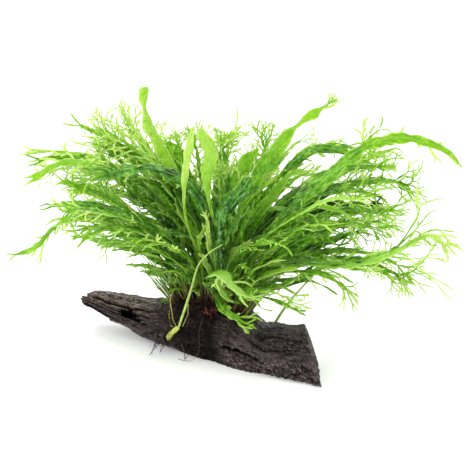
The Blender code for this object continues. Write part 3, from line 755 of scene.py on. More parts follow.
def threads(name, strands, mat, node, fading=None):
    """One mesh of strands, each with its points and its radius in mm.

    Fading is two distances from the rhizome in mm; between them the strands go from old to young.
    """
    curve = bpy.data.curves.new(name, "CURVE")
    curve.dimensions = "3D"
    curve.bevel_depth = MM
    curve.bevel_resolution = 0
    curve.use_fill_caps = True
    for points, radius in strands:
        route = smooth_route(points, 3)
        spline = curve.splines.new("POLY")
        spline.points.add(len(route) - 1)
        for k, spot in enumerate(route):
            spline.points[k].co = (*(Vector(spot) * MM), 1.0)
            spline.points[k].radius = radius * (1.0 - THREAD_TAPER * k / len(route))
    holder = bpy.data.objects.new(name + "_curve", curve)
    bpy.context.scene.collection.objects.link(holder)
    mesh = bpy.data.meshes.new_from_object(holder.evaluated_get(bpy.context.evaluated_depsgraph_get()))
    bpy.data.objects.remove(holder, do_unlink=True)
    bm = bmesh.new()
    bm.from_mesh(mesh)
    bmesh.ops.scale(bm, vec=(1 / MM,) * 3, verts=bm.verts)
    age_layer = bm.verts.layers.float.new("age")
    for vert in bm.verts if fading else ():
        off = min((vert.co - Vector(point)).length for point in crown[::6])
        vert[age_layer] = ramp(off, *fading) * 0.9
    piece = stand_in(name, bm, mat, [node] if node else [])
    print(name, "strands", len(strands), "faces", len(piece.data.polygons))
    return piece


# %% [markdown]
# Old roots are dark brown, their mat on the rhizome is a little lighter, and new roots are pale or
# reddish. Stalks are brown at the foot and green above, so their ramp is longer, and the age attribute
# carries the distance from the rhizome.

# %% Materials of the roots and stalks
# finish: its colours with their places, scale of the mottle, roughness, and for dull ones their gloss
ROOT_FINISHES = {
    "root_dark": (((0.15, (0.005, 0.003, 0.003)), (0.25, (0.019, 0.011, 0.009)),
                   (0.33, (0.066, 0.041, 0.030))), 90.0, 0.6, 0.15),
    "root_brown": (((0.15, (0.008, 0.005, 0.003)), (0.25, (0.045, 0.025, 0.014)),
                    (0.33, (0.150, 0.090, 0.052))), 90.0, 0.6, 0.15),
    "root_pale": (((0.15, (0.20, 0.17, 0.05)), (0.26, (0.38, 0.35, 0.10)),
                   (0.36, (0.50, 0.50, 0.18))), 300.0, 0.45),
    "root_reddish": (((0.15, (0.07, 0.012, 0.010)), (0.25, (0.17, 0.035, 0.025)),
                      (0.34, (0.26, 0.07, 0.045))), 200.0, 0.5),
    "root_tan": (((0.15, (0.05, 0.03, 0.02)), (0.25, (0.15, 0.10, 0.06)),
                  (0.33, (0.26, 0.19, 0.12))), 90.0, 0.6),
    "old_stalk": (((0.20, (0.030, 0.014, 0.006)), (0.32, (0.13, 0.10, 0.020)), (0.45, (0.16, 0.24, 0.025)),
                   (0.62, (0.16, 0.36, 0.030)), (0.85, (0.32, 0.52, 0.080))), 110.0, 0.40),
    "moss_green": (((0.15, (0.06, 0.12, 0.01)), (0.25, (0.20, 0.40, 0.03)),
                    (0.36, (0.40, 0.62, 0.07))), 400.0, 0.6),
}
finish.update({name: stem_finish(name, *row) for name, row in ROOT_FINISHES.items()})
print("finishes", len(finish))

# %% [markdown]
# Each root is one thick strand along its route. Thin ones start beside its seat and run with it, and from
# each of its points a few more creep away over the bark.

# %% Grow the roots
ROOT_SEED = 40
STRANDS_AT_SEAT, STRANDS_AT_POINT = 22, 3
for index, (root_name, share, angle, root_route) in enumerate(ROOTS):
    draw = random.Random(ROOT_SEED + index)
    main = [off_the_bark(Vector(p), ROOT_RADIUS + 0.8) for p in smooth_route(
        [seat_on_rhizome(share, angle, 0.9)] + list(root_route), 2)]
    strands = [(main, ROOT_RADIUS * 0.8)]
    for k in range(STRANDS_AT_SEAT):
        beside = min(max(share + draw.uniform(-0.12, 0.12), 0), 1)
        seat = seat_on_rhizome(beside, angle + draw.uniform(-30, 30), 0.2)
        way = Vector(main[2]) - seat + Vector((draw.uniform(-9, 9), draw.uniform(-3, 3), 0))
        strand = creep(seat, way, draw.randint(7, 15), 2.4, 0.3, draw, 0.75)
        strands.append((strand, draw.uniform(0.13, 0.28)))
    for spot in main[2:]:
        for k in range(STRANDS_AT_POINT):
            way = drawn(draw, (-1, 1), (-0.6, 0.1), (-1, 0.3))
            strand = creep(spot, way, draw.randint(4, 8), 1.8, 0.25, draw, 0.8, 0.05)
            strands.append((strand, draw.uniform(0.10, 0.22)))
    threads("holding_" + root_name, strands, finish["root_dark"], root_name)

# %% [markdown]
# Around the rhizome the roots felt into a brown mat, and on the front of the log they make a dark net,
# with a few loose hairs below the shoot. Both are the same creeping strands, many and short. The draws of
# chance come from seeded generators, so that each run grows the same mat.

# %% Root mat, net and hairs
# the routes of the loose hairs
HAIR_ROOTS = (
    ((-47, -8, 18), (-48.5, -10, 10), (-49.7, -12, 3)),
    ((-41.3, -10, 19), (-44, -11, 15.5), (-47, -12, 12)),
    ((-37.8, -12, 15), (-36, -14, 12), (-34, -15, 10)),
    ((-43, -9, 17), (-41, -12, 12), (-38, -14, 10)),
    ((-28.7, -16, 14), (-27, -18, 9), (-25.2, -20, 3)),
    ((-31, -20, 3.5), (-26, -21, 2.6), (-21, -21, 2.8), (-17.5, -19, 7)),
)
MAT_SEED, MAT_STRANDS, NET_STRANDS = 91, 200, 150
draw = random.Random(MAT_SEED)
mat_strands = []
for k in range(MAT_STRANDS):
    spot = seat_on_rhizome(draw.random(), draw.uniform(-125, 125), 0.1)
    way = drawn(draw, (-1, 1), (-1, 0.6), (-1, 0.2))
    strand = creep(spot, way, draw.randint(4, 8), 2.0, 0.3, draw, 1.0, 0.3, 0.4)
    mat_strands.append((strand, draw.uniform(0.14, 0.34)))
threads("crown_root_mat", mat_strands, finish["root_brown"], None)
net = []
for k in range(NET_STRANDS):
    front = Vector((draw.uniform(-39, -12), -24.0, draw.uniform(4, 33)))
    place = Matrix.Rotation(WOOD_TURN, 4, "Z") @ front
    way = drawn(draw, (-1, 1), (-0.3, 0.3), (-1, 1))
    strand = creep(place, way, draw.randint(4, 8), 1.7, 0.3, draw, 0.7, 0.05)
    net.append((strand[1:], draw.uniform(0.14, 0.30)))
threads("root_net", net, finish["root_dark"], None)
hairs = [([off_the_bark(Vector(p), 0.3) for p in hair], 0.26) for hair in HAIR_ROOTS]
threads("hair_roots", hairs, finish["root_tan"], None)

# %% [markdown]
# The crown bristles with stalks: those of old fronds, bare dark ones at the rhizome's left end, and short
# ones that stand on the bark in front. Each is a thread that starts at its foot and bows a little. A few
# pale ones lean away to the right, one of them alone.

# %% Stalks
# the pale ones: route and radius in mm
LEANING = (
    (((37, 14, 15), (45, 18, 27), (53, 22, 36), (62, 26, 45), (72, 30, 54)), 1.35),
    (((22, -4, 37), (29, -2, 46), (37, 2, 56), (46, 6, 66)), 1.0),
    (((23, -2, 36), (32, 3, 46), (42, 8, 57), (52, 12, 63)), 0.9),
    (((18, -10, 40), (24, -10, 48), (32, -8, 58), (42, -6, 66)), 0.8),
)
OLD_STALKS, BARE_STALKS, FRONT_STALKS = 190, 26, 110


def bowed(foot, lean, reach, bow):
    """The points of a stalk from its foot along lean, with its middle pushed aside by bow."""
    return [foot, foot + lean * reach * 0.5 + bow, foot + lean * reach]


stubs = []
for k in range(OLD_STALKS):
    out = draw.uniform(-100, 80)
    share = draw.random()
    seat = seat_on_rhizome(share, out, -0.3)
    lean = ACROSS * math.sin(math.radians(out)) * 0.5
    lean += Vector((1.2 * (share - 0.5) + draw.uniform(-0.28, 0.28), 0, 1.1))
    bow = drawn(draw, (-3, 3), (-2, 2), (-1, 2))
    stubs.append((bowed(seat, lean, draw.uniform(12, 46), bow), draw.uniform(0.34, 0.62)))
# bare dark ones that lean out of the rhizome's left end
for k in range(BARE_STALKS):
    seat = seat_on_rhizome(draw.uniform(0.0, 0.16), draw.uniform(-110, 40), -0.3)
    reach = draw.uniform(8, 20)
    lean = drawn(draw, (-1.0, -0.2), (-0.5, 0.2), (0.5, 1.1))
    stubs.append((bowed(seat, lean, reach, Vector((0, 0, 1))), draw.uniform(0.30, 0.5)))
threads("old_stalks", stubs, finish["old_stalk"], None, (3, 24))
front_stalks = []
for k in range(FRONT_STALKS):
    share = draw.random() ** 1.4
    foot = off_the_bark(seat_on_rhizome(share, draw.uniform(-130, -92), draw.uniform(0.5, 6.0)), 0.3)
    lean = Vector((1.3 * (share - 0.5) + draw.uniform(-0.28, 0.28), draw.uniform(-0.35, 0.05), 1.1))
    bow = drawn(draw, (-2, 2), (-2, 0), (-1, 1))
    front_stalks.append((bowed(foot, lean, draw.uniform(10, 30), bow), draw.uniform(0.34, 0.70)))
threads("front_stalks", front_stalks, finish["old_stalk"], None, (7, 25))
threads("leaning_stalks", LEANING, finish["stalk_green"], None, (0.0, 1.0))

# %% [markdown]
# New roots are pale and a little thicker; three of them run down beside the shoot. The youngest rootlets
# are reddish, in one small patch, and a tuft of moss sits at the rhizome's left end.

# %% New roots and moss
PALE_ROOTS = (
    ((-35, 4, 46), (-37, 0, 40), (-36, -2, 34), (-35, -5, 28), (-32, -9, 23), (-30, -11, 22)),
    ((-37, 8, 33), (-38, 2, 28), (-36, -4, 23), (-33, -9, 21)),
    ((-24, -3, 38), (-24, -8, 33), (-26, -11, 29), (-28, -12, 25)),
)
RED_PATCH = Vector((-11, -18, 40))
MOSS_PATCH = Vector((-41, 20, 34.5))
RED_SEED, RED_ROOTLETS = 55, 16
MOSS_SEED, MOSS_LEAVES = 77, 36


def scattered(draw, centre, *spreads):
    """A point near a centre, with its own spread along each axis."""
    return centre + Vector([draw.gauss(0, spread) for spread in spreads])


pale = [([off_the_bark(Vector(p), 0.45) for p in smooth_route(route, 3)], 0.55) for route in PALE_ROOTS]
threads("pale_new_roots", pale, finish["root_pale"], None)
draw = random.Random(RED_SEED)
red_strands = []
for k in range(RED_ROOTLETS):
    spot = scattered(draw, RED_PATCH, 3.0, 1.5, 1.5)
    way = drawn(draw, (-1, 1), (-0.6, 0.2), (-0.5, 0.8))
    strand = creep(spot, way, draw.randint(2, 4), 1.2, 0.3, draw, 0.9, 0.1)
    red_strands.append((strand, draw.uniform(0.18, 0.30)))
threads("reddish_rootlets", red_strands, finish["root_reddish"], None)
draw = random.Random(MOSS_SEED)
moss = []
for k in range(MOSS_LEAVES):
    near, normal, _, _ = bark.find_nearest(scattered(draw, MOSS_PATCH, 1.5, 1.5, 1.0))
    lean = (normal + drawn(draw, (-1, 1), (-1, 1), (-0.5, 1))).normalized()
    tip = near + lean * 3.0 + Vector((0, 0, draw.uniform(-0.5, 0.6)))
    moss.append(([near, near + lean * 1.6, tip], draw.uniform(0.20, 0.40)))
threads("moss_tuft", moss, finish["moss_green"], None)

# %% [markdown]
# The young stem is the stalk of a frond that hasn't opened yet. It starts at the end of the shoot and
# leans to the right in front of the crown, and it is a bent stem like the rhizome, thin, smooth and
# tapered.

# %% The young stem
# at its foot the solid's route, and further up where the photograph shows it
YOUNG_STEM = ((-26, -17, 40), (-21, -24, 58), (-16, -31, 77), (-8, -35, 88), (1, -39, 95))
YOUNG_STEM_RADIUS = 1.125      # at the foot, mm
stem_way = (Vector(YOUNG_STEM[0]) - Vector(SHOOT_AT_REST[-1])).normalized()
stem_route = [tuple(Vector(SHOOT_AT_REST[-1]) + stem_way * 0.2)] + list(YOUNG_STEM)
young = bent_stem(stem_route, YOUNG_STEM_RADIUS, 160, 14, 0.05, 21.0, 0.62)
young = stand_in("young_stalk", young, finish["stalk_green"], ["young_stem"])
print("young stalk faces", len(young.data.polygons))

# %% [markdown]
# ## The fronds
# Fifty fronds stand in five rows on the rhizome, from the front to the back. Each has a route for its
# midrib, a blade width, a crest spread and a turn of its face. These are the same numbers as the solids';
# further down a few fronds get a route or a facing of their own, and all get a brightness and a habit.

# %% The rows of fronds
# row: name, angle of its seats round the rhizome, first and last seat along it, fronds
# frond: name, blade width, crest spread, facing, twist, route of the midrib (mm)
ROWS = (
    ("front", -62, 0.26, 0.90, (
        ("low_left_front", 9, 14, 0.3, 15,
         ((-19, -24, 72), (-35, -46, 91), (-52, -66, 100), (-70, -82, 97))),
        ("narrow_bright", 8, 5, 1.6, 10,
         ((-15, -19, 77), (-24, -36, 110), (-24, -46, 142), (-18, -48, 178))),
        ("light_leaf_front", 9, 13, 0.0, -20,
         ((-9, -24, 66), (-4, -35, 75), (2, -45, 76), (8, -51, 70), (16, -57, 66), (28, -63, 63))),
        ("hanging_front", 7, 15, 0.0, 20,
         ((0, -14, 47), (4, -22, 43), (10, -30, 37), (18, -37, 34), (28, -43, 33))),
        ("wide_bright", 11, 7, 1.6, -10,
         ((0, -22, 85), (-6, -36, 118), (-9, -42, 142), (-7, -42, 161), (-14, -36, 174))),
        ("bluish_front", 10, 9, 0.6, 25,
         ((-1, -30, 88), (-3, -48, 121), (6, -60, 140), (25, -70, 149))),
        ("leaf_to_viewer", 10, 13, 0.3, -15,
         ((9, -28, 79), (22, -58, 102), (34, -80, 112), (44, -97, 110))),
        ("blade_front_right", 12, 16, 0.7, -15,
         ((19, -30, 70), (35, -52, 98), (54, -69, 117), (76, -81, 125))),
        ("lace_front_right", 7, 16, 0.2, 30,
         ((13, -33, 60), (28, -48, 66), (42, -57, 64), (56, -64, 59))),
    )),
    ("near", -29, 0.06, 0.94, (
        ("leaf_low_left", 10, 12, 0.4, 20,
         ((-23, -19, 70), (-46, -31, 92), (-69, -40, 102), (-88, -46, 97))),
        ("lace_low_left", 8, 18, 0.6, 25,
         ((-18, -14, 73), (-38, -34, 100), (-61, -52, 118), (-88, -66, 128), (-116, -72, 124))),
        ("inner_left", 11, 10, 1.1, 15,
         ((-12, -13, 86), (-25, -17, 117), (-38, -21, 141), (-56, -25, 152))),
        ("dark_arch", 12, 14, 1.0, 20,
         ((-5, -14, 83), (-11, -26, 119), (-25, -33, 138), (-48, -38, 148), (-71, -42, 146),
          (-92, -46, 138))),
        ("tall_right", 14, 10, 1.3, -15,
         ((9, -12, 83), (17, -20, 116), (27, -26, 145), (41, -32, 167), (59, -36, 184),
          (79, -40, 196))),
        ("big_arch_right", 12, 9, 0.9, 20,
         ((17, -14, 79), (37, -28, 109), (64, -40, 137), (85, -46, 159), (111, -52, 172),
          (137, -58, 169), (155, -60, 157))),
        ("lace_mid_front_right", 8, 17, 0.7, -20,
         ((25, -24, 88), (50, -40, 115), (79, -54, 132), (107, -62, 133))),
        ("long_low_right", 8, 13, 0.5, 30,
         ((20, -18, 69), (50, -36, 83), (81, -50, 86), (109, -62, 97), (136, -72, 116),
          (156, -76, 108))),
        ("lowest_right", 7, 16, 0.4, -20,
         ((20, -22, 61), (42, -35, 74), (66, -48, 78), (82, -56, 71), (95, -62, 62))),
    )),
    ("middle", 3, 0.03, 0.97, (
        ("lace_below_left", 7, 15, 0.5, -25,
         ((-32, 0, 60), (-51, -13, 88), (-76, -26, 109), (-107, -38, 117))),
        ("long_left", 9, 8, 0.6, 30,
         ((-32, 0, 67), (-65, -6, 95), (-92, -10, 103), (-112, -16, 102), (-128, -20, 87),
          (-149, -24, 80))),
        ("bright_left", 10, 12, 0.9, 15,
         ((-21, -2, 82), (-45, -10, 115), (-70, -14, 140), (-91, -18, 164))),
        ("lace_mid_left", 7, 18, 0.8, -30,
         ((-15, -3, 82), (-38, -14, 134), (-59, -20, 153), (-78, -26, 164), (-97, -32, 175))),
        ("tall_left", 9, 4, 1.4, 25,
         ((-11, -3, 82), (-29, -8, 128), (-43, -10, 159), (-51, -12, 177), (-51, -14, 197))),
        ("crest_top", 8, 18, 1.0, -15,
         ((-1, -3, 86), (3, -6, 123), (3, -8, 149), (-2, -12, 173))),
        ("inner_right", 10, 11, 0.9, 20,
         ((12, -2, 86), (28, -6, 110), (45, -8, 133), (62, -12, 143))),
        ("lace_mid_right", 9, 20, 0.6, -25,
         ((20, -2, 73), (53, -8, 97), (85, -16, 111), (111, -24, 112), (133, -30, 114))),
        ("lace_low_right", 8, 18, 0.4, 20,
         ((23, -4, 64), (60, -12, 78), (88, -20, 85), (114, -26, 80), (147, -36, 63))),
    )),
    ("far", 35, 0.03, 0.97, (
        ("wavy_left", 10, 15, 0.7, 25,
         ((-30, 9, 56), (-53, 16, 70), (-75, 20, 76), (-113, 28, 81))),
        ("fill_low_left", 9, 16, 0.5, -20,
         ((-28, 11, 69), (-53, 20, 91), (-83, 30, 108), (-119, 40, 117))),
        ("hook_left", 9, 9, 0.8, 20,
         ((-23, 10, 76), (-51, 20, 112), (-81, 28, 128), (-109, 34, 133), (-130, 38, 123),
          (-145, 40, 116))),
        ("crest_up_left", 7, 17, 0.9, -20,
         ((-16, 9, 82), (-35, 16, 123), (-56, 22, 148), (-74, 30, 176))),
        ("oval_left", 12, 8, 1.2, 15,
         ((-11, 9, 82), (-21, 16, 117), (-32, 20, 141), (-45, 22, 161))),
        ("leaf_centre", 10, 9, 1.3, 10,
         ((2, 8, 86), (6, 12, 118), (14, 13, 135), (25, 14, 147))),
        ("crest_centre", 8, 19, 1.0, -20,
         ((9, 10, 84), (21, 22, 119), (29, 30, 141), (33, 36, 165))),
        ("dark_arch_right", 10, 14, 0.7, 25,
         ((15, 10, 84), (35, 18, 117), (56, 24, 140), (78, 30, 144), (109, 36, 132))),
        ("mid_right_far", 9, 17, 0.6, 15,
         ((17, 10, 82), (46, 18, 111), (76, 24, 128), (105, 30, 131), (131, 34, 124))),
        ("dense_lace_right", 10, 22, 0.7, -15,
         ((20, 13, 75), (49, 21, 99), (80, 28, 114), (115, 34, 119), (154, 42, 111))),
        ("dark_blade_right", 11, 14, 0.5, 20,
         ((23, 7, 62), (56, 15, 75), (81, 22, 87), (105, 28, 96))),
    )),
    ("back", 67, 0.05, 0.97, (
        ("low_left_back", 9, 15, 0.0, 20,
         ((-27, 24, 60), (-46, 48, 79), (-78, 74, 84), (-104, 92, 76))),
        ("mid_left_lace_back", 9, 16, 0.2, -15,
         ((-27, 23, 65), (-51, 45, 92), (-84, 66, 101), (-119, 82, 98))),
        ("upper_left_back", 9, 12, 0.4, -20,
         ((-20, 23, 76), (-54, 40, 113), (-91, 52, 131), (-117, 58, 134), (-145, 62, 127))),
        ("tall_left_back", 9, 10, 0.6, 20,
         ((-13, 17, 76), (-24, 36, 111), (-38, 50, 137), (-53, 60, 150))),
        ("mid_left_back", 9, 14, -0.4, 0,
         ((-8, 22, 72), (-16, 50, 94), (-24, 78, 106), (-33, 100, 104))),
        ("lace_top_back", 7, 15, 0.5, -15,
         ((-1, 17, 80), (0, 34, 113), (5, 46, 144), (20, 56, 160))),
        ("mid_right_back", 9, 14, -0.4, 0,
         ((6, 20, 74), (13, 50, 95), (19, 80, 104), (28, 104, 101))),
        ("tall_right_back", 10, 12, 0.6, -20,
         ((11, 16, 79), (26, 38, 111), (46, 54, 136), (73, 66, 151))),
        ("arch_right_back", 10, 15, 0.2, 20,
         ((15, 18, 73), (45, 46, 98), (79, 66, 116), (114, 80, 130), (132, 88, 130))),
        ("mid_right_lace_back", 9, 16, 0.2, 15,
         ((18, 18, 70), (55, 42, 89), (95, 64, 99), (136, 82, 88))),
        ("low_right_back", 9, 15, 0.0, -20,
         ((20, 17, 60), (57, 46, 74), (96, 72, 78), (130, 90, 62))),
        ("low_stalk_back", 5, 10, 0.0, 20,
         ((32, 6, 44), (56, 22, 46), (72, 34, 55), (93, 46, 58))),
    )),
)
print("fronds", sum(len(row[4]) for row in ROWS))

# %% [markdown]
# ### From flat pattern to frond
# A leaf grows in a plane and then bends, so it is modelled that way. First a flat pattern: a grid for the
# stalk and blade, and lobes that grow out of its margin and its end by extruding edges. Then one function
# bends the pattern along the route: a point's height in the pattern says where on the route it goes, and
# the rest is measured in the frond's own frame there, so a twist of that frame twists the blade.

# %% Frame of a frond along its route
BEND_REACH = 1.5       # the frame goes on this far past the end of the route, as a share of its length
BEND_STEPS = 150


def frond_frame(curve, share, facing, turn, lean):
    """Midrib point, direction across the blade and the way its face looks, turned about the midrib."""
    point, way = along(curve, share)
    guide = Vector((0.0, -facing, 1.0)) - 0.45 * Vector((lean.x, lean.y, 0.0))
    look = (guide - way * guide.dot(way)).normalized()
    look = Matrix.Rotation(turn, 3, way) @ look
    return point, way.cross(look), look


def bend_along(bm, curve, length, facing, turns):
    """Bend the flat pattern along the route; turns(share) is the blade's turn there."""
    lean = Vector(curve[-1] - curve[0])
    lean.z = 0.0
    lean.normalize()
    shares = np.linspace(0.0, BEND_REACH, BEND_STEPS)
    frames = [frond_frame(curve, share, facing, turns(share), lean) for share in shares]
    frames = np.array([[*point, *across, *look] for point, across, look in frames])
    flat = np.array([v.co for v in bm.verts])
    where = np.clip(flat[:, 1] / length, 0.0, BEND_REACH)
    columns = np.array([np.interp(where, shares, frames[:, k]) for k in range(9)]).T
    bent = columns[:, 0:3] + columns[:, 3:6] * flat[:, 0:1] + columns[:, 6:9] * flat[:, 2:3]
    for vert, place in zip(bm.verts, bent):
        vert.co = place


# %% [markdown]
# The blade is a grid, seven points across, or five on a short one. Near the foot its sides are rolled
# under until they nearly meet, which makes the thin round stalk; further up the roll opens into a trough
# with a midrib. The margins are not straight: they swell and shrink, have small scallops, and ruffle up
# and down. Fronds that the photograph shows clearly have an outline of their own, as pairs of a share of
# the route and a share of the full width.

# %% Outlines of blades
BLADE_SHAPE = ((0.0, 0.0), (0.10, 0.10), (0.18, 0.20), (0.28, 0.42), (0.40, 0.70), (0.52, 0.92),
               (0.66, 1.0), (0.78, 0.90), (0.90, 0.62), (1.0, 0.36))
FOOT_SHAPE = ((0, 0.25), (0.15, 0.3), (0.35, 0.7), (0.6, 1.0), (0.8, 0.75), (1.0, 0.15))
OWN_SHAPES = {
    "tall_left": (
        (0, 0), (0.15, 0.1), (0.35, 0.35), (0.55, 0.8), (0.70, 1.25), (0.80, 1.35), (0.86, 0.85),
        (0.90, 0.55), (0.925, 0.60), (0.95, 1.05), (0.985, 1.10), (1.0, 0.7)),
    "tall_right": (
        (0, 0), (0.15, 0.12), (0.30, 0.45), (0.50, 0.85), (0.68, 1.08), (0.74, 0.88), (0.79, 0.56),
        (0.84, 0.46), (0.88, 0.55), (0.93, 0.40), (1.0, 0.3)),
    "big_arch_right": (
        (0, 0), (0.15, 0.12), (0.30, 0.45), (0.42, 0.85), (0.55, 0.95), (0.66, 0.80), (0.71, 0.55),
        (0.78, 0.74), (0.84, 0.60), (0.90, 0.42), (0.96, 0.30), (1.0, 0.22)),
    "long_left": (
        (0, 0), (0.2, 0.15), (0.4, 0.45), (0.60, 0.5), (0.74, 0.32), (0.80, 0.5), (0.86, 0.85),
        (0.93, 0.6), (1.0, 0.35)),
    "light_leaf_front": (
        (0, 0), (0.2, 0.1), (0.33, 0.3), (0.42, 1.2), (0.52, 1.4), (0.64, 1.05), (0.74, 0.72),
        (0.85, 0.5), (1.0, 0.3)),
    "hanging_front": ((0, 0), (0.15, 0.3), (0.3, 0.75), (0.5, 1.0), (0.7, 0.7), (1.0, 0.5)),
    "wide_bright": (
        (0, 0), (0.2, 0.12), (0.4, 0.18), (0.55, 0.26), (0.66, 0.40), (0.73, 0.85), (0.80, 1.2),
        (0.90, 1.30), (0.95, 1.15), (0.98, 0.8), (1.0, 0.4)),
    "narrow_bright": (
        (0, 0), (0.3, 0.2), (0.6, 0.30), (0.70, 0.42), (0.77, 0.9), (0.86, 1.0), (0.93, 0.85),
        (0.97, 0.5), (1.0, 0.2)),
    "oval_left": ((0, 0), (0.25, 0.2), (0.5, 0.55), (0.7, 0.95), (0.85, 1.15), (0.93, 0.8), (1.0, 0.2)),
    "leaf_centre": (
        (0, 0), (0.25, 0.2), (0.5, 0.5), (0.7, 1.05), (0.84, 1.25), (0.93, 0.85), (1.0, 0.2)),
    "bluish_front": (
        (0, 0), (0.3, 0.15), (0.5, 0.35), (0.62, 0.7), (0.74, 1.15), (0.84, 1.2), (0.93, 0.85),
        (1.0, 0.2)),
    "long_low_right": (
        (0, 0), (0.15, 0.12), (0.3, 0.6), (0.45, 1.0), (0.56, 1.0), (0.64, 0.62), (0.74, 0.5),
        (1.0, 0.4)),
    "dark_arch": (
        (0, 0), (0.15, 0.12), (0.30, 0.40), (0.45, 0.7), (0.60, 0.8), (0.72, 0.62), (0.82, 0.82),
        (0.9, 0.7), (1.0, 0.4)),
    "hook_left": (
        (0, 0), (0.15, 0.1), (0.3, 0.4), (0.5, 0.7), (0.7, 0.72), (0.85, 0.6), (0.93, 0.72),
        (1.0, 0.5)),
    "dark_arch_right": (
        (0, 0), (0.15, 0.1), (0.4, 0.45), (0.6, 0.75), (0.7, 1.0), (0.8, 0.95), (0.88, 0.55),
        (1.0, 0.3)),
}
print("outlines of their own", len(OWN_SHAPES))

# %% [markdown]
# Now the grid is laid out row by row. `rolled` is 1 on the stalk and 0 on the blade, and whatever only
# the blade has, such as its ruffles, is scaled by the opposite. The `edge` attribute marks the margins,
# which the material makes a little lighter.

# %% Flat pattern of the blade
STALK_ARC = 2.0        # half of the strip that is rolled into the stalk, mm
BLADE_COLUMNS = 6
LOW_BLADE_COLUMNS = 4  # for the short ones
SHORT_BLADE = 75.0     # blades up to this length are short, mm
ROW_SPACING = 1.8      # between the rows of the grid, mm
FULL_ROLL = 2.75       # how far round the stalk is rolled, to each side, in radians


def blade_half(share, width, shape):
    """Half the blade's width in mm at a share of its length."""
    shares, widths = zip(*shape)
    return float(np.interp(share, shares, widths)) * width / 2


def flat_blade(bm, length, width, end, shape, draw):
    """Lay out stalk and blade up to a share of the length; returns the rows of vertices, foot first."""
    rows = round(length * end / ROW_SPACING)
    columns = BLADE_COLUMNS if length > SHORT_BLADE else LOW_BLADE_COLUMNS
    bmesh.ops.create_grid(bm, x_segments=columns, y_segments=rows, size=1.0)
    lines = {}
    for vert in bm.verts:
        lines.setdefault(round((vert.co.y + 1) / 2 * rows), []).append(vert)
    edge_layer = bm.verts.layers.float["edge"]
    shift, pitch = draw.uniform(0, 50), draw.uniform(13, 26)
    ruffle, fold = 0.45 + 0.11 * width, draw.uniform(0.25, 0.85)
    foot = draw.uniform(0.06, 0.14)
    for row, line in lines.items():
        line.sort(key=lambda v: v.co.x)
        share = row / rows * end
        y = share * length
        rolled = 1.0 - ramp(share, foot, foot + 0.12)
        stalk = STALK_ARC * (1.0 - ramp(share, foot + 0.04, foot + 0.18))
        arc = max(blade_half(share, width, shape), stalk)
        theta = FULL_ROLL * rolled + fold * (1 - rolled)
        fading = (1 - rolled) * (0.45 + 0.75 * noise.noise(Vector((y / 24.0, shift, 4.0))))
        for vert in line:
            side = vert.co.x
            edge = 1.0 if side > 0 else -1.0
            scallop = noise.noise(Vector((y / 4.6, edge * 3.0 + shift, 0.5)))
            swell = 1.0 + (1 - rolled) * 0.30 * scallop
            swell *= 1.0 + (1 - rolled) * 0.26 * noise.noise(Vector((y / 15.0, shift + 0.4 * edge, 7.5)))
            radius = arc / theta
            x = radius * math.sin(theta * side) * swell
            z = -radius * (1.0 - math.cos(theta * side))
            phase = 2 * math.pi * y / pitch + edge * 1.1 + shift
            z += fading * ruffle * abs(side) ** 1.6 * math.sin(phase)
            z += (1 - rolled) * 0.50 * noise.noise(Vector((x / 2.6, y / 3.4, shift)))
            if abs(side) < 0.01:
                z -= 0.35 * (1 - rolled)
            vert[edge_layer] = (1 - rolled) * ramp(abs(side), 0.70, 1.0)
            vert.co = (x, y, z)
    return [lines[k] for k in sorted(lines)]


# %% [markdown]
# ### Lobes that fork
# A lobe starts from a chain of edges on the margin or at the blade's end. It is pushed forward in short
# steps, and each step is an extrusion that sets the chain square to the lobe's way and makes it narrower.
# Where the lobe forks the chain is parted in two, and each half grows on by the same rule, until its
# forks are used up and it ends in a blunt tip. Each lobe also swings from side to side and curls out of
# the leaf's plane.

# %% Extrude, part and grow
STEP = 1.9             # length of one extrusion, mm
THINNEST = 1.1         # full width of the last forks, mm


def push_chain(bm, chain, centre, angle, width):
    """Extrude a chain of edges to a new place, square to its way."""
    edges = [bm.edges.get(pair) for pair in zip(chain, chain[1:])]
    made = bmesh.ops.extrude_edge_only(bm, edges=edges)["geom"]
    copies = {tuple(v.co): v for v in made if isinstance(v, bmesh.types.BMVert)}
    chain = [copies[tuple(v.co)] for v in chain]
    across = Vector((math.cos(angle), -math.sin(angle), 0.0))
    for k, vert in enumerate(chain):
        vert.co = centre + across * width * (k / (len(chain) - 1) - 0.5)
    return chain


def part_chain(bm, chain):
    """A left and a right half of a chain; a single edge is cut first."""
    if len(chain) == 2:
        _, middle = bmesh.utils.edge_split(bm.edges.get(chain), chain[0], 0.5)
        chain = [chain[0], middle, chain[1]]
    middle = len(chain) // 2
    return chain[:middle + 1], chain[middle:]


